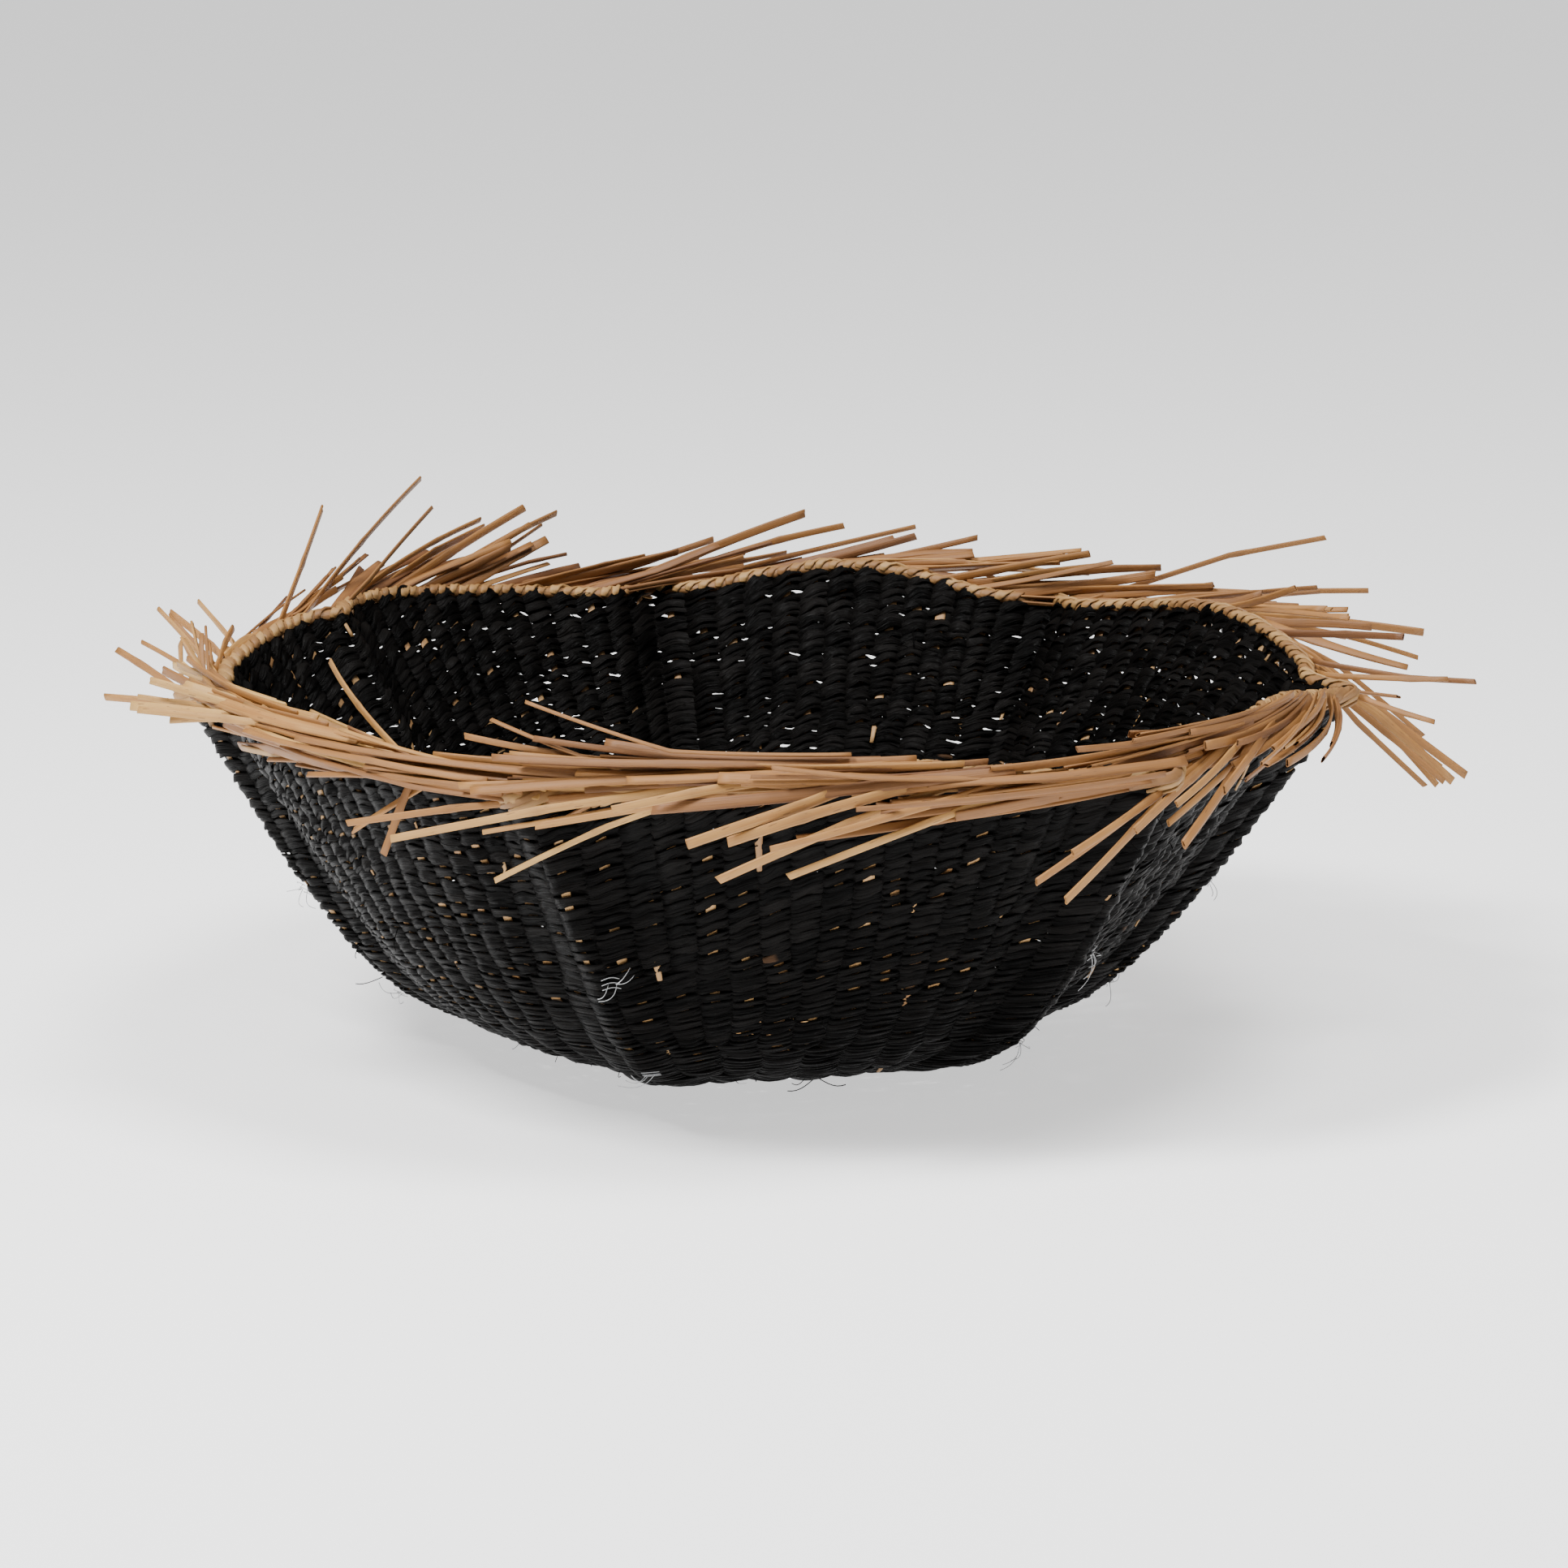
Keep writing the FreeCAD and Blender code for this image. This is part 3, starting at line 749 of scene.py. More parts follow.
@dataclass
class TwinedRows:
    """Rows of paired strips, each pair twisted once between two stakes.

    Each strip is a leaf folded into two layers that lie a little apart.
    """

    wall: Wall
    layout: StakeLayout
    samples: int = 7
    corners: int = 8
    layers: int = 2
    layer_thickness: float = 1.1
    layer_step: float = 0.22
    inside_hug: float = 1.65
    outside_hug: float = 1.3
    swing: float = 0.24
    arch: float = 0.16
    cover: float = 0.70
    tilt: float = 9.0
    rows_each: int = 3
    fibre_share: float = 0.10

    def row(self, strands: Strands, row: int) -> None:
        """Add one row's two strips.

        Args:
            strands: The mesh that takes them.
            row: The row's number in the layout.
        """
        level = float(self.layout.levels[row])
        angles = self.layout.angles[row]
        count = len(angles)
        turns = np.append(angles, angles[0] + 360.0)
        places = np.arange(count * self.samples) / self.samples
        angle = np.interp(places, np.arange(count + 1), turns)
        row_pitch = self.pitch_here(row, angle)
        wander = drift(5, angle, level * 3.0) * 1.1 + drift(100 + row, angle, 0.0) * 0.35
        for strip in range(2):
            rng = np.random.default_rng(1000 + 2 * row + strip)
            self.strip(strands, places, angle, level, row_pitch, wander, strip, count, rng)

    def pitch_here(self, row: int, angle: np.ndarray) -> np.ndarray:
        """Measure the height that one row has at each direction.

        Args:
            row: The row's number.
            angle: Directions in degrees.

        Returns:
            Heights in metres.
        """
        levels = self.layout.levels
        low = levels[max(row - 1, 0)]
        high = levels[min(row + 1, len(levels) - 1)]
        rows = min(row + 1, len(levels) - 1) - max(row - 1, 0)
        span = self.wall.point(angle, np.full_like(angle, high))
        span = span - self.wall.point(angle, np.full_like(angle, low))
        return np.linalg.norm(span, axis=-1) / rows

    def looseness(self, angle: np.ndarray, level: float) -> np.ndarray:
        """Work out how slack the weave is.

        Args:
            angle: Directions in degrees.
            level: The row's place up the wall.

        Returns:
            Values from 0 where it is tight to 1.3 where it is slackest.
        """
        back = np.clip(np.cos(np.radians(angle - SLACK_BACK_ANGLE)), 0.0, None) ** 2.0
        side = SLACK_SIDE * np.clip(np.cos(np.radians(angle - SLACK_SIDE_ANGLE)), 0.0, None)
        middle = np.exp(-(((level - SLACK_LEVEL) / SLACK_REACH) ** 2))
        return np.clip((1.15 * back + side) * middle + 0.14 * drift(77, angle, 2.0 * level), 0.0, 1.3)

    def strip(self, strands: Strands, places: np.ndarray, angle: np.ndarray, level: float,
              row_pitch: np.ndarray, wander: np.ndarray, strip: int, count: int,
              rng: np.random.Generator) -> None:
        """Add one strip that passes outside every second stake.

        Args:
            strands: The mesh that takes it.
            places: Distance along the row, counted in stakes.
            angle: Directions of the same places.
            level: The row's level.
            row_pitch: The row's height in metres.
            wander: How far the row strays, in millimetres.
            strip: 0 or 1, which of the pair.
            count: Stakes in the row.
            rng: Where its unevenness comes from.
        """
        def uneven(low: float, high: float) -> np.ndarray:
            """Return values that change from one stake to the next."""
            values = rng.uniform(low, high, count)
            return np.interp(places, np.arange(count + 1), np.append(values, values[0]))

        phase = math.pi * (places + strip) + uneven(-0.2, 0.2)
        outward, upward = np.cos(phase), np.sin(phase)
        hugged = np.sign(outward) * np.abs(outward) ** 0.6
        slack = self.looseness(angle, level)
        strip_shift = wander * MM + uneven(-0.12, 0.12) * row_pitch
        shade = uneven(0.0, 1.0) ** 1.6
        for layer in range(self.layers):
            side = layer - (self.layers - 1) / 2.0
            width = row_pitch * self.cover * (0.74 + 0.26 * outward**2)
            width = width * uneven(0.72, 1.22) * (1.0 - 0.40 * slack)
            thick = self.layer_thickness * MM * uneven(0.7, 1.25)
            hug = np.where(outward > 0.0, self.outside_hug, self.inside_hug)
            stand = hug * MM * hugged * uneven(0.8, 1.25)
            stand = stand + side * (0.75 * MM) * np.where(outward > 0.0, 1.0, -1.0) * hugged**2
            shift = upward * self.swing + side * 2.0 * self.layer_step + self.arch * outward**2
            shift = strip_shift + shift * row_pitch
            shift = shift + uneven(-0.14, 0.14) * row_pitch
            lift = shift / self.wall.pitch(angle, np.full_like(angle, level))
            here, out, _, _ = self.wall.axes(angle, level + lift)
            centre = here + out * stand[:, None]
            tangent = unit(np.roll(centre, -1, axis=0) - np.roll(centre, 1, axis=0))
            flat = unit(np.cross(out, tangent))
            face = np.cross(tangent, flat)
            roll = np.radians(uneven(-30.0, 30.0) + 8.0 * upward - self.tilt * hugged)[:, None]
            wide = flat * np.cos(roll) + face * np.sin(roll)
            deep = face * np.cos(roll) - flat * np.sin(roll)
            across, through = oval(self.corners, width, thick, uneven(0.0, 0.9), uneven(-0.5, 0.5))
            rings = centre[:, None, :] + wide[:, None, :] * across[..., None]
            rings = rings + deep[:, None, :] * through[..., None]
            tone = np.ones((len(places), 4))
            tone[:, 0] = shade * 0.75 + uneven(0.0, 0.25)
            tone[:, 1] = (rng.random(count) < 0.0008)[(places.astype(int)) % count]
            length = np.radians(angle - angle[0]) * np.linalg.norm(here[0, :2])
            strands.tube(rings, tone, closed=True, length=length + rng.uniform(0.0, 5.0))
        self.frayed(strands, places, here, out, tangent, rng)

    def frayed(self, strands: Strands, places: np.ndarray, here: np.ndarray, out: np.ndarray,
               along: np.ndarray, rng: np.random.Generator) -> None:
        """Add a few fine fibres that have come loose from a strip.

        Args:
            strands: The mesh that takes them.
            places: Distance along the row, counted in stakes.
            here: Points along the strip.
            out: Outward directions there.
            along: Directions along the strip.
            rng: Where they come from.
        """
        share = np.linspace(0.0, 1.0, 7)[:, None]
        for _ in range(rng.poisson(self.fibre_share * places[-1] / 4.0)):
            spot = int(rng.integers(len(here)))
            face = rng.choice((-1.0, 1.0))
            length = rng.uniform(4.0, 13.0) * MM
            run = unit(along[spot] * rng.choice((-1.0, 1.0)) + rng.normal(0.0, 0.45, 3))
            line = here[spot] + out[spot] * face * (2.2 + 2.6 * np.sin(2.4 * share)) * MM
            line = line + run * length * share
            strands.thread(line, rng.uniform(0.12, 0.26) * MM, (0.5, 0.0, 0.0, 1.0))

    def build(self, material: bpy.types.Material) -> None:
        """Make the base's rows and the six bands up the wall.

        Args:
            material: The strips' finish.
        """
        base = Strands()
        for row in range(self.layout.base_rows):
            self.row(base, row)
        dress(base.build("base_weft"), material, Slot.WEFT, "base_weft_under", "base_weft_top")
        bands = 6
        rows_in_band = self.layout.wall_rows // bands
        for start in range(0, self.layout.wall_rows, self.rows_each):
            strands = Strands()
            for row in range(start, start + self.rows_each):
                self.row(strands, self.layout.base_rows + row)
            band = start // rows_in_band + 1
            part = (start % rows_in_band) // self.rows_each + 1
            dress(strands.build(f"weft_band_{band}_{part}"), material, Slot.WEFT,
                  f"outer_weft_{band}", f"inner_weft_{band}")


@dataclass
class Stakes:
    """The straw stakes, from the base's centre or from where they are let in."""

    wall: Wall
    layout: StakeLayout
    width: float = 4.6
    thickness: float = 1.0
    corners: int = 8

    def stake(self, strands: Strands, index: int) -> None:
        """Add one stake.

        Args:
            strands: The mesh that takes it.
            index: The stake's number in the layout.
        """
        rng = np.random.default_rng(4000 + index)
        track = self.layout.tracks[index]
        levels = self.layout.levels[[row for row, _ in track]]
        angles = np.array([angle for _, angle in track])
        let_in = index >= self.layout.first_count
        start = levels[0] - (rng.uniform(0.01, 0.05) if let_in else 0.02)
        steps = max(6, int(70 * (1.0 - start)))
        level = np.linspace(start, 1.005, steps)
        angle = np.interp(level, levels, angles)
        offset = np.zeros(steps)
        shows = let_in and rng.random() < 0.3
        if shows:
            side = rng.choice((-1.0, 1.0))
            offset = side * 2.7 * (1.0 - smooth((level - start) / 0.045))
        here, out, _, along = self.wall.axes(angle, level)
        centre = here + out * (offset * MM)[:, None]
        width = np.full(steps, self.width * rng.uniform(0.8, 1.25) * MM)
        if let_in:
            width = width * (0.42 + 0.58 * smooth((level - start) / 0.08))
        thick = np.full(steps, self.thickness * MM)
        across, through = oval(self.corners, width, thick, np.full(steps, 0.3), np.zeros(steps))
        rings = centre[:, None, :] + along[:, None, :] * across[..., None]
        rings = rings + out[:, None, :] * through[..., None]
        tone = np.ones((steps, 4))
        tone[:] = (rng.uniform(0.25, 0.75), 0.0, 0.0, 1.0)
        strands.tube(rings, tone)

    def build(self, material: bpy.types.Material) -> None:
        """Make the three sets of stakes.

        Args:
            material: The straw's finish.
        """
        first, half = self.layout.first_count, self.layout.rim_count // 2
        sets = (("base_stakes", 0, first), ("side_stakes", first, half),
                ("rim_stakes", half, len(self.layout.tracks)))
        for name, low, high in sets:
            strands = Strands()
            for index in range(low, high):
                self.stake(strands, index)
            dress(strands.build(f"straw_{name}"), material, Slot.STAKE, name)


@dataclass
class BaseCross:
    """The reeds that cross over and under each other at the base's centre."""

    wall: Wall
    reach: float = 25.0
    reeds: int = 9
    reed_width: float = 3.9
    reed_thickness: float = 0.9

    def reed(self, strands: Strands, index: int, turned: bool) -> None:
        """Add one reed.

        Args:
            strands: The mesh that takes it.
            index: Its place across the bundle.
            turned: Whether it runs along Y instead of X.
        """
        rng = np.random.default_rng(7000 + index + 50 * turned)
        pitch = 4.5
        side = (index - (self.reeds - 1) / 2.0) * pitch
        run = math.sqrt(self.reach**2 - side**2)
        steps = 48
        place = np.linspace(-run, run, steps)
        weave = np.cos(math.pi * place / pitch + math.pi * (index + turned)) * 0.55
        points = np.stack((place, np.full(steps, side), self.wall.middle_height + weave), axis=-1)
        if turned:
            points = points[:, (1, 0, 2)]
        sideways = np.array((1.0, 0.0, 0.0) if turned else (0.0, 1.0, 0.0))
        width = np.full(steps, self.reed_width)
        thick = np.full(steps, self.reed_thickness)
        across, through = oval(8, width, thick, np.full(steps, 0.25), np.zeros(steps))
        rings = points[:, None, :] + sideways * across[..., None]
        rings = rings + np.array((0.0, 0.0, 1.0)) * through[..., None]
        tone = np.ones((steps, 4))
        tone[:] = (rng.uniform(0.3, 0.8), 0.0, 0.0, 1.0)
        strands.tube(rings * MM, tone)

    def build(self, material: bpy.types.Material) -> None:
        """Make both layers of reeds.

        Args:
            material: The straw's finish.
        """
        for node, turned in (("base_cross_lower", False), ("base_cross_upper", True)):
            strands = Strands()
            for index in range(self.reeds):
                self.reed(strands, index, turned)
            dress(strands.build(node.replace("cross", "reeds")), material, Slot.STAKE, node)


@dataclass
class Border:
    """Straw ends folded over the top row, shingled outside and beaded inside."""

    wall: Wall
    wraps: int = 240
    width: float = 4.5
    thickness: float = 1.9
    corners: int = 10

    def wrap(self, strands: Strands, index: int) -> None:
        """Add one folded end.

        Args:
            strands: The mesh that takes it.
            index: Its place round the rim.
        """
        rng = np.random.default_rng(9000 + index)
        angle = 360.0 * (index + rng.uniform(-0.15, 0.15)) / self.wraps
        run = np.array((0.0, 0.6, 2.0, 5.0, 9.5, 14.5, 19.5, 23.0)) * rng.uniform(0.9, 1.1)
        rise = np.array((-1.0, 0.8, 2.7, 3.9, 3.4, 1.2, -1.6, -3.8)) + rng.uniform(-0.6, 0.6)
        out = np.array((-1.4, -2.5, -1.9, 0.6, 2.8, 3.7, 3.9, 3.2))
        dense = np.linspace(0.0, 7.0, 22)
        knots = np.arange(8.0)
        run, rise, out = (np.interp(dense, knots, values) for values in (run, rise, out))
        radius = self.wall.rim_radius * MM
        angles = angle - np.degrees(run * MM / radius)
        level = np.full_like(angles, 1.0)
        here, outward, up, along = self.wall.axes(angles, level)
        centre = here + outward * (out * MM)[:, None] + up * (rise * MM)[:, None]
        tangent = unit(np.gradient(centre, axis=0))
        core = here + up * (0.8 * MM)
        away = centre - core
        away = unit(away - tangent * np.sum(away * tangent, axis=1, keepdims=True))
        sideways = np.cross(tangent, away)
        size = rng.uniform(0.8, 1.15)
        swell = 0.72 + 0.28 * np.sin(math.pi * np.clip(dense / 7.0, 0.0, 1.0)) ** 0.5
        width = self.width * size * MM * swell
        thick = np.full_like(width, self.thickness * rng.uniform(0.8, 1.2) * MM)
        groove = np.full_like(width, rng.uniform(0.1, 0.6))
        across, through = oval(self.corners, width, thick, groove,
                               np.full_like(width, rng.uniform(-0.3, 0.3)))
        rings = centre[:, None, :] + sideways[:, None, :] * across[..., None]
        rings = rings + away[:, None, :] * through[..., None]
        tone = np.ones((len(dense), 4))
        tone[:] = (rng.uniform(0.2, 0.8), 0.0, 0.0, 1.0)
        strands.tube(rings, tone)

    def core(self, strands: Strands) -> None:
        """Add the ring that the ends fold round.

        Args:
            strands: The mesh that takes it.
        """
        angle = np.linspace(0.0, 360.0, 480, endpoint=False)
        here, outward, up, _ = self.wall.axes(angle, np.ones_like(angle))
        centre = here + up * (0.8 * MM)
        turn = TAU * np.arange(self.corners) / self.corners
        rings = centre[:, None, :] + outward[:, None, :] * (2.2 * MM * np.cos(turn))[None, :, None]
        rings = rings + up[:, None, :] * (2.8 * MM * np.sin(turn))[None, :, None]
        tone = np.ones((len(angle), 4))
        tone[:] = (0.25, 0.0, 0.0, 1.0)
        strands.tube(rings, tone, closed=True)

    def build(self, material: bpy.types.Material) -> None:
        """Make the border.

        Args:
            material: The straw's finish.
        """
        strands = Strands()
        self.core(strands)
        for index in range(self.wraps):
            self.wrap(strands, index)
        dress(strands.build("folded_border"), material, Slot.BORDER, "rim_border")


@dataclass
class Stalk:
    """One flattened stalk of the fringe.

    Angles are in degrees and lengths in millimetres.  The stalk leaves the
    border clockwise; sweep turns it outward, lift raises it, curl turns it
    further outward along its length and droop lowers it.  Its broad face lies
    level at a roll of 0 and upright at 90.
    """

    angle: float
    sweep: float
    lift: float
    length: float
    width: float = 5.0
    curl: float = 0.0
    droop: float = 0.0
    kink: float = 0.0
    kink_at: float = 0.6
    seat: float = 5.0
    stand: float = 4.6
    tone: float = 0.5
    stain: float = 0.0
    roll: float = 60.0
    twist: float = 30.0

    def path(self, wall: Wall, steps: int) -> np.ndarray:
        """Work out the stalk's line.

        Args:
            wall: The wall that it springs from.
            steps: Points along it.

        Returns:
            The points in metres.
        """
        level = np.array([1.0])
        here, out, up, _ = wall.axes(np.array([self.angle]), level)
        point = here[0] + out[0] * self.stand * MM + up[0] * self.seat * MM
        turn = math.radians(self.angle)
        outward = np.array((math.cos(turn), math.sin(turn), 0.0))
        onward = np.array((math.sin(turn), -math.cos(turn), 0.0))
        points = [point]
        for step in range(1, steps):
            share = step / (steps - 1)
            leave = min(1.0, share * self.length / 14.0)
            bent = self.kink if share > self.kink_at else 0.0
            sweep = math.radians((self.sweep + self.curl * share) * leave)
            lift = math.radians((self.lift - self.droop * share + bent) * leave)
            level_run = onward * math.cos(sweep) + outward * math.sin(sweep)
            run = level_run * math.cos(lift) + np.array((0.0, 0.0, math.sin(lift)))
            point = point + run * (self.length / (steps - 1)) * MM
            points.append(point)
        return np.array(points)

    def add(self, strands: Strands, wall: Wall, rng: np.random.Generator) -> None:
        """Add the stalk to a mesh.

        Args:
            strands: The mesh that takes it.
            wall: The wall that it springs from.
            rng: Where its unevenness comes from.
        """
        steps = max(10, int(self.length / 5.0))
        centre = self.path(wall, steps)
        tangent = unit(np.gradient(centre, axis=0))
        level = np.array((0.0, 0.0, 1.0))
        sideways = unit(np.cross(tangent, level))
        face = np.cross(sideways, tangent)
        share = np.linspace(0.0, 1.0, steps)
        roll = np.radians(self.roll + self.twist * rng.uniform(-1.0, 1.0) * share)
        wide = sideways * np.cos(roll)[:, None] + face * np.sin(roll)[:, None]
        flat = face * np.cos(roll)[:, None] - sideways * np.sin(roll)[:, None]
        width = self.width * MM * (1.0 - 0.10 * share)
        knuckle = np.exp(-((share - self.kink_at) * self.length / 3.5) ** 2)
        width = width * (1.0 + 0.16 * knuckle)
        thick = (1.15 + 0.12 * self.width) * MM * (1.0 + 0.25 * knuckle)
        crease = np.full(steps, rng.uniform(0.15, 0.8))
        across, through = oval(10, width, thick, crease, np.full(steps, rng.uniform(-0.4, 0.4)))
        slant = across[-1] * rng.uniform(-0.35, 0.35)
        rings = centre[:, None, :] + wide[:, None, :] * across[..., None]
        rings = rings + flat[:, None, :] * through[..., None]
        rings[-1] += tangent[-1] * slant[:, None]
        tone = np.ones((steps + 3, 4))
        tone[:] = (self.tone, 0.0, 0.0, 1.0)
        tone[:steps, 1] = self.stain * smooth((share - 0.4) / 0.6) + 0.35 * knuckle
        lip = centre[-1] + (rings[-1] - centre[-1]) * 0.8
        deep = lip - tangent[-1] * 2.5 * MM
        floor = centre[-1] + (rings[-1] - centre[-1]) * 0.3 - tangent[-1] * 3.0 * MM
        rings = np.concatenate((rings, lip[None], deep[None], floor[None]))
        # The third tone value marks the inner rings of the cut end for painted shade in the hollow.
        tone[steps + 1:, 2] = 1.0
        strands.tube(rings, tone)


@dataclass(frozen=True)
class LongStalks:
    """A group of longer stalks that stand out from the fringe, as middle values.

    The roots lie within a reach either side of one direction, in degrees.
    """

    node: str
    angle: float
    reach: float
    count: int
    length: float
    sweep: float
    lift: float
    tone: float


# Longer stalks by stretch of rim; angles in degrees, lengths in millimetres.
LONG_STALKS = (
    LongStalks("fringe_left", 175.0, 10.0, 6, 52.0, 45.0, 22.0, 0.50),
    LongStalks("fringe_back_left", 146.0, 14.0, 7, 115.0, 5.0, 20.0, 0.35),
    LongStalks("fringe_back", 108.0, 14.0, 6, 120.0, 5.0, 10.0, 0.38),
    LongStalks("fringe_back_right", 48.0, 10.0, 5, 130.0, 35.0, 6.0, 0.40),
    LongStalks("fringe_right", 14.0, 12.0, 9, 90.0, 66.0, -34.0, 0.42),
    LongStalks("fringe_front_right", -34.0, 14.0, 8, 112.0, 7.0, -15.0, 0.50),
    LongStalks("fringe_front", -80.0, 20.0, 11, 122.0, 8.0, -12.0, 0.60),
    LongStalks("fringe_front_left", -145.0, 6.0, 7, 80.0, 30.0, 2.0, 0.68),
    LongStalks("fringe_front_left", -121.0, 4.0, 2, 125.0, -24.0, 12.0, 0.60),
    LongStalks("fringe_front_left", -124.0, 1.0, 1, 36.0, 60.0, -80.0, 0.35),
)


@dataclass(frozen=True)
class Sector:
    """How the stalks of one stretch of the rim lie, as middle values.

    The sweep changes by fan and the length by grow from the first direction to
    the last.  A follow of 1 bends the stalks as much as the rim itself.
    """

    node: str
    first: float
    last: float
    count: int
    length: float
    grow: float
    sweep: float
    fan: float
    lift: float
    follow: float
    tone: float
    spread: float
    top_seat: float = 6.0


@dataclass
class Fringe:
    """The ragged fringe of stake ends, swept clockwise round the rim."""

    wall: Wall
    bundle: int = 4
    sharp_share: float = 0.02
    long_follow: float = 0.5
    sectors: tuple[Sector, ...] = (
        Sector("fringe_left", 212.0, 167.0, 16, 46.0, 0.0, 34.0, -30.0, 20.0, 0.0, 0.50, 10.0),
        Sector("fringe_back_left", 166.0, 127.0, 34, 78.0, 6.0, 4.0, 2.0, 12.0, 0.5, 0.18, 6.0),
        Sector("fringe_back", 126.0, 81.0, 38, 88.0, 0.0, 5.0, 2.0, 8.0, 0.6, 0.20, 4.5),
        Sector("fringe_back_right", 80.0, 37.0, 42, 90.0, 10.0, 8.0, 16.0, 5.0, 0.4, 0.32, 5.0),
        Sector("fringe_right", 36.0, -7.0, 10, 70.0, 0.0, 30.0, 40.0, -14.0, 0.0, 0.26, 12.0),
        Sector("fringe_front_right", -6.0, -58.0, 44, 112.0, 12.0, 5.0, -3.0, -2.0, 1.0, 0.25, 3.0, 9.0),
        Sector("fringe_front", -59.0, -109.0, 58, 130.0, 20.0, 4.0, -1.0, 0.5, 1.0, 0.33, 2.2, 11.0),
        Sector("fringe_front_left", -110.0, -148.0, 62, 185.0, -105.0, 2.0, 8.0, 2.5, 1.0, 0.52, 1.8, 10.0),
    )

    def stalks(self, sector: Sector, rng: np.random.Generator) -> list[Stalk]:
        """Draw one sector's stalks.

        Args:
            sector: The sector.
            rng: Where the draws come from.

        Returns:
            The stalks.
        """
        drawn = []
        rim = self.wall.rim_radius
        for index in range(sector.count):
            if index % self.bundle == 0:
                bundle_sweep, bundle_lift = rng.normal(0.0, sector.spread, 2) * (1.0, 0.6)
            share = (index + rng.uniform(-0.9, 0.9)) / sector.count
            sharp = rng.random() < self.sharp_share
            length = sector.length + sector.grow * share
            length = length * rng.triangular(0.5, 0.98, 1.25)
            drawn.append(Stalk(
                angle=sector.first + (sector.last - sector.first) * share,
                sweep=(sector.sweep + sector.fan * share + bundle_sweep
                       + rng.normal(0.0, 0.45 * sector.spread)),
                lift=sector.lift + bundle_lift + rng.normal(0.0, 0.3 * sector.spread),
                length=length,
                width=rng.triangular(1.6, 2.8, 6.4),
                curl=rng.normal(0.0, sector.spread) - sector.follow * math.degrees(length / rim),
                droop=rng.normal(1.0, 1.0 + 0.6 * sector.spread),
                kink=rng.choice((-30.0, 14.0)) if sharp else rng.normal(0.0, 3.0),
                kink_at=rng.uniform(0.35, 0.8),
                seat=rng.uniform(-1.0, sector.top_seat),
                stand=rng.uniform(2.0, 5.5),
                tone=sector.tone + rng.normal(0.0, 0.15),
                stain=max(0.0, rng.normal(-0.35, 0.45)),
                roll=rng.choice((-1.0, 1.0)) * rng.uniform(25.0, 90.0),
            ))
        return drawn + self.long_stalks(sector, rng)

    def long_stalks(self, sector: Sector, rng: np.random.Generator) -> list[Stalk]:
        """Draw the longer stalks that stand out from one sector.

        Args:
            sector: The sector.
            rng: Where the draws come from.

        Returns:
            The stalks.
        """
        drawn = []
        for group in LONG_STALKS:
            if group.node != sector.node:
                continue
            for index in range(group.count):
                across = (2.0 * index + 1.0) / group.count - 1.0
                length = group.length * rng.uniform(0.8, 1.15)
                turn_with_rim = math.degrees(length / self.wall.rim_radius)
                drawn.append(Stalk(
                    angle=group.angle + group.reach * across + rng.normal(0.0, 0.6),
                    sweep=group.sweep + rng.normal(0.0, 4.0),
                    lift=group.lift + rng.normal(0.0, 6.0),
                    length=length,
                    width=rng.uniform(2.4, 5.2),
                    curl=rng.normal(0.0, 5.0) - self.long_follow * sector.follow * turn_with_rim,
                    droop=rng.normal(4.0, 4.0),
                    kink=rng.normal(0.0, 3.0),
                    kink_at=rng.uniform(0.35, 0.75),
                    seat=3.0,
                    stand=rng.uniform(4.0, 6.5),
                    tone=group.tone + rng.normal(0.0, 0.08),
                    roll=rng.uniform(68.0, 92.0),
                    twist=10.0,
                ))
        return drawn

    def build(self, material: bpy.types.Material) -> None:
        """Make each sector of the fringe.

        Args:
            material: The stalks' finish.
        """
        for number, sector in enumerate(self.sectors):
            rng = np.random.default_rng(300 + number)
            strands = Strands()
            for stalk in self.stalks(sector, rng):
                stalk.add(strands, self.wall, rng)
            name = sector.node.replace("fringe", "stalks")
            dress(strands.build(name), material, Slot.FRINGE, sector.node)


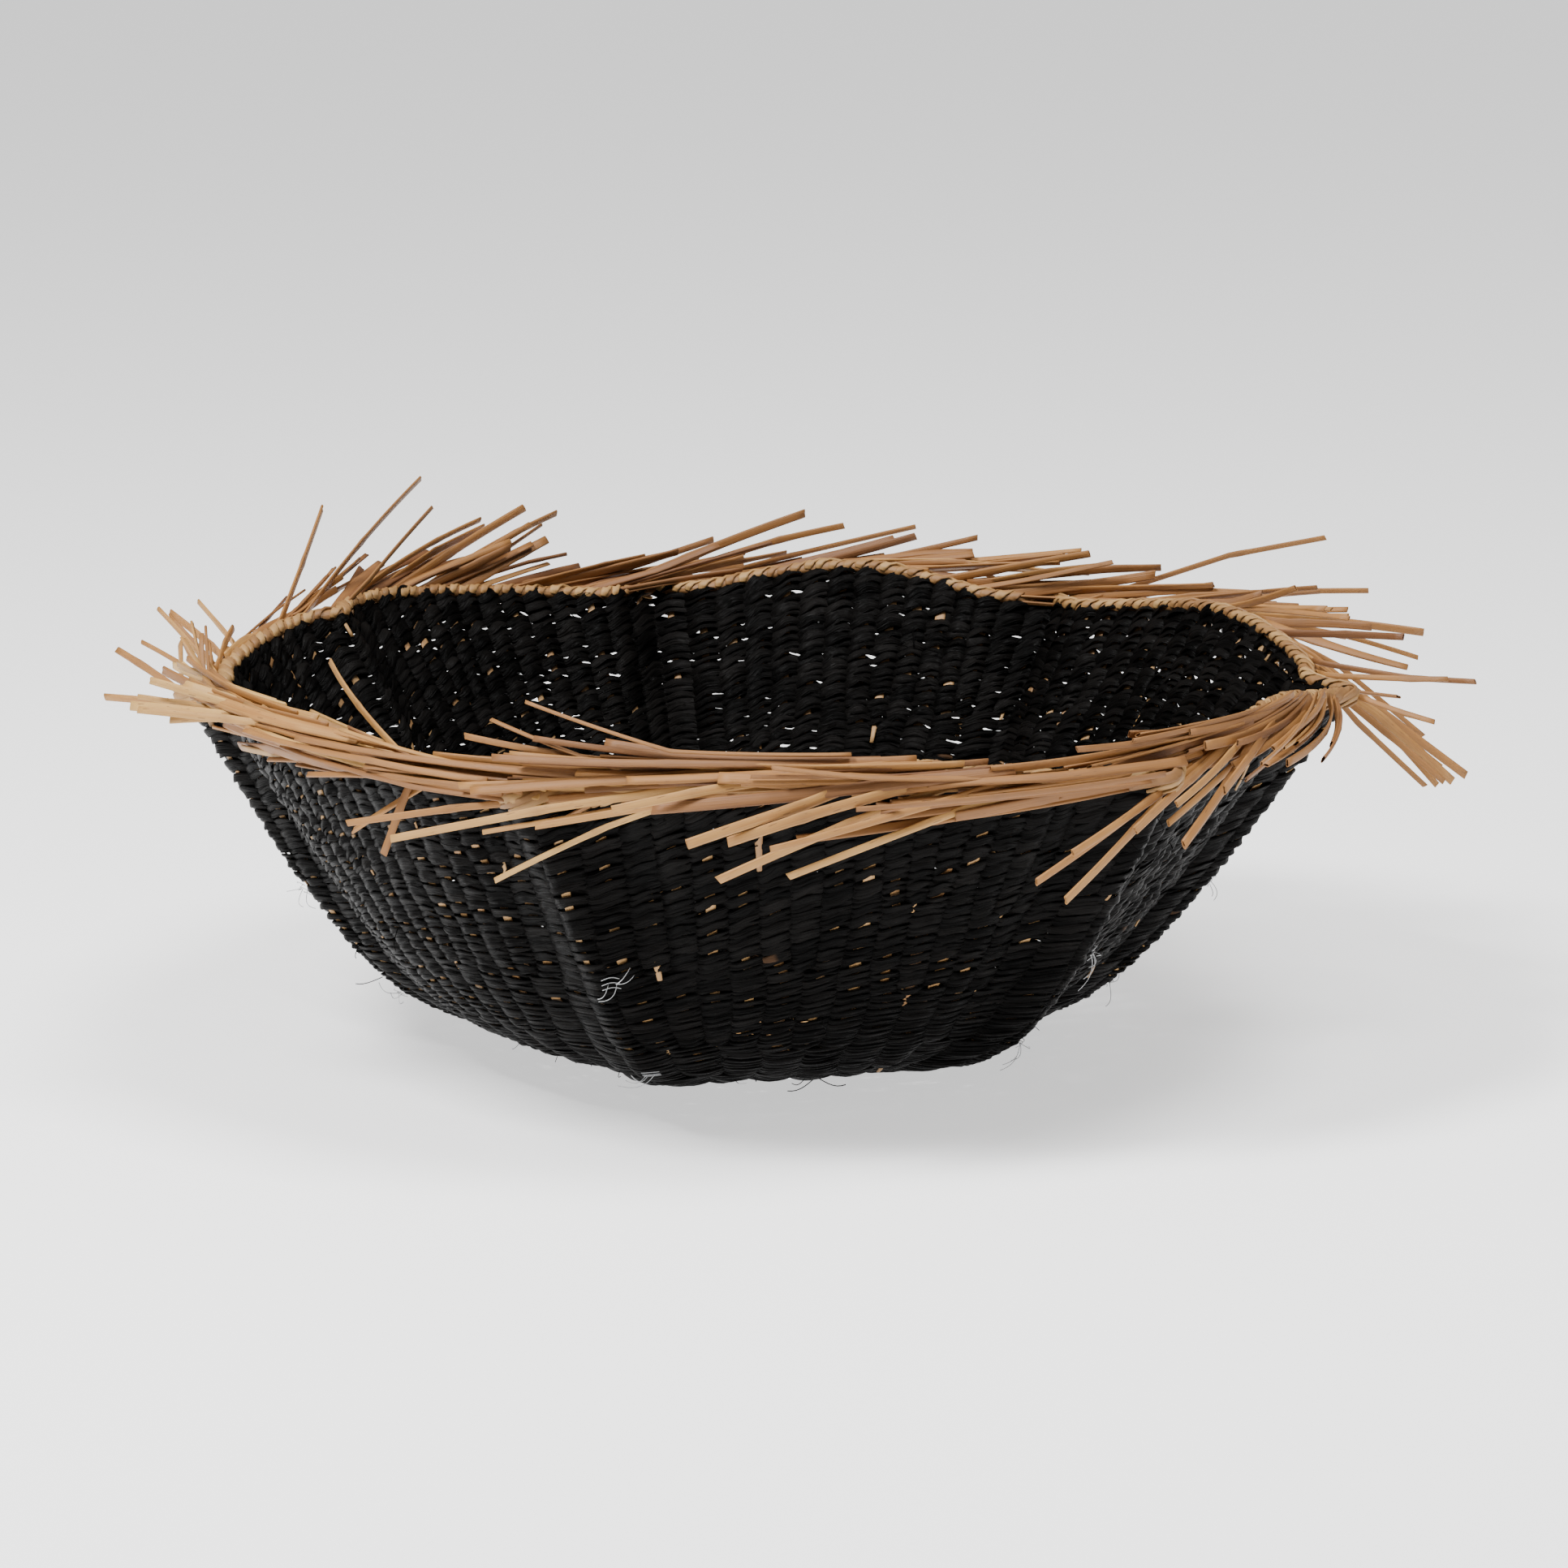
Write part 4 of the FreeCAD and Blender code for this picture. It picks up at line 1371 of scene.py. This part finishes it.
@dataclass
class Tie:
    """Thread that holds one pleat: stitches inside, a knot and ends outside."""

    wall: Wall
    pleat: Pleat
    level: float
    name: str
    thread: float = 0.16
    stitches: int = 5
    half_span: float = 6.0
    tone: tuple[float, ...] = (0.5, 0.0, 0.0, 1.0)

    def build(self, material: bpy.types.Material) -> None:
        """Make the tie.

        Args:
            material: The thread's finish.
        """
        strands = Strands()
        rng = np.random.default_rng(int(1000 * self.level) + int(self.pleat.value) + 400)
        middle = self.wall.edge_line(self.pleat, self.level)
        radius = float(self.wall.profile(np.array(self.level))[0])
        reach = math.degrees(self.half_span / radius)
        share = np.linspace(0.0, 1.0, 9)
        for stitch in range(self.stitches):
            height = self.level + (stitch - 2) * 0.008 + rng.uniform(-0.004, 0.004)
            ends = np.array((-reach, reach)) * rng.uniform(0.8, 1.1)
            spots, out, _, _ = self.wall.axes(middle + ends, np.array((height, height + 0.006)))
            spots = spots - out * 2.9 * MM
            line = spots[0] + (spots[1] - spots[0]) * share[:, None]
            sag = np.sin(math.pi * share)[:, None] * out.mean(axis=0) * rng.uniform(0.2, 1.6) * MM
            strands.thread(line + sag, self.thread * MM, self.tone)
        self.outside(strands, rng, middle, reach)
        name = f"{self.name}_tie_{self.pleat.name.lower()}"
        dress(strands.build(f"thread_{name}"), material, Slot.THREAD, name)

    def outside(self, strands: Strands, rng: np.random.Generator, middle: float,
                reach: float) -> None:
        """Add the wraps on the pleat's outside and the loose ends.

        Args:
            strands: The mesh that takes them.
            rng: Where their unevenness comes from.
            middle: Direction of the pleat's line.
            reach: Half the tie's reach in degrees.
        """
        share = np.linspace(0.0, 1.0, 11)
        for wrap in range(3):
            angle = middle + reach * np.linspace(0.15, 0.95, 11)
            height = self.level + (wrap - 1) * 0.010 + 0.006 * np.sin(math.pi * share)
            spots, out, _, _ = self.wall.axes(angle, height)
            stand = 3.0 + 0.5 * np.sin(math.pi * share) + rng.uniform(0.0, 0.4)
            strands.thread(spots + out * (stand * MM)[:, None], self.thread * MM, self.tone)
        root, out, up, along = self.wall.axes(np.array([middle + 0.6 * reach]),
                                              np.array([self.level]))
        for _ in range(rng.integers(3, 5)):
            length = rng.uniform(6.0, 14.0) * MM
            heading = rng.uniform(-math.pi, math.pi)
            run = along[0] * math.cos(heading) + up[0] * math.sin(heading)
            across = np.cross(run, out[0]) * rng.uniform(-0.7, 0.7) * length
            start = root[0] + (along[0] * rng.uniform(-3.0, 3.0) + out[0] * 3.2) * MM
            line = start + run * (length * share)[:, None] + across * (share**2)[:, None]
            line = line + out[0] * (3.6 * MM * np.sin(2.6 * share))[:, None]
            strands.thread(line, self.thread * MM, self.tone)


@dataclass
class Basket:
    """The whole basket, built from its parts in the order that a maker works."""

    reach: float = 0.2612

    def build(self) -> None:
        """Build every part round the frame."""
        low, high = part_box("rim_border")
        wall = Wall(scale=(high[0] - low[0]) / 2.0 / self.reach)
        layout = StakeLayout(wall)
        black = DyedLeaf().make()
        hidden = Straw(name="stake_straw", middle=(0.34, 0.19, 0.075), pale=(0.50, 0.31, 0.13)).make()
        folded = Straw(name="border_straw", middle=(0.30, 0.16, 0.055),
                       pale=(0.46, 0.28, 0.11), fleck_start=0.74).make()
        loose = Straw(name="fringe_straw").make()
        thread = Nylon().make()
        BaseCross(wall).build(hidden)
        Stakes(wall, layout).build(hidden)
        TwinedRows(wall, layout).build(black)
        Border(wall).build(folded)
        Fringe(wall).build(loose)
        for pleat in Pleat:
            Tie(wall, pleat, 0.72, "upper").build(thread)
            Tie(wall, pleat, 0.42, "lower").build(thread)


@dataclass
class Studio:
    """A pale floor, soft light and the camera."""

    distance: float = 2.6
    elevation: float = 12.0
    lens: float = 133.2
    aim: tuple[float, float, float] = (0.0076, 0.0, 0.1167)

    def floor(self) -> None:
        """Lay the floor."""
        bpy.ops.mesh.primitive_plane_add(size=60.0, location=(0.0, 0.0, 0.0))
        floor = bpy.context.object
        floor.name = "floor"
        material = bpy.data.materials.new("pale_floor")
        material.use_nodes = True
        shader = material.node_tree.nodes["Principled BSDF"]
        shader.inputs["Base Color"].default_value = (0.93, 0.93, 0.93, 1.0)
        shader.inputs["Roughness"].default_value = 0.9
        shader.inputs["Specular IOR Level"].default_value = 0.1
        shader.inputs["Emission Color"].default_value = (1.0, 1.0, 1.0, 1.0)
        shader.inputs["Emission Strength"].default_value = 0.9
        floor.data.materials.append(material)

    def lamp(self, name: str, place: tuple[float, float, float], size: float, power: float) -> None:
        """Hang one soft lamp that points at the basket.

        Args:
            name: The lamp's name.
            place: Where it hangs.
            size: Its width.
            power: Its power in watts.
        """
        light = bpy.data.lights.new(name, "AREA")
        light.size = size
        light.energy = power
        lamp = bpy.data.objects.new(name, light)
        lamp.location = place
        aim = Vector(self.aim) - Vector(place)
        lamp.rotation_euler = aim.to_track_quat("-Z", "Y").to_euler()
        bpy.context.scene.collection.objects.link(lamp)

    def camera(self) -> None:
        """Set up the camera."""
        data = bpy.data.cameras.new("camera")
        data.lens = self.lens
        data.sensor_width = 36.0
        camera = bpy.data.objects.new("camera", data)
        rise = math.radians(self.elevation)
        back = Vector((0.0, -math.cos(rise), math.sin(rise))) * self.distance
        camera.location = Vector(self.aim) + back
        camera.rotation_euler = (-back).to_track_quat("-Z", "Y").to_euler()
        bpy.context.scene.collection.objects.link(camera)
        bpy.context.scene.camera = camera

    def build(self) -> None:
        """Set up floor, light and camera."""
        self.floor()
        world = bpy.data.worlds.new("studio")
        world.use_nodes = True
        world.node_tree.nodes["Background"].inputs["Color"].default_value = (1.0, 1.0, 1.0, 1.0)
        world.node_tree.nodes["Background"].inputs["Strength"].default_value = 0.22
        bpy.context.scene.world = world
        self.lamp("key", (-1.2, -0.9, 2.1), 0.6, 94.0)
        self.lamp("top", (0.6, -0.5, 2.3), 0.9, 54.0)
        self.camera()


def main() -> None:
    """Build the basket and its studio."""
    logging.basicConfig(level=logging.INFO, format="%(name)s: %(message)s")
    Basket().build()
    Studio().build()


if __name__ == "__main__":
    main()
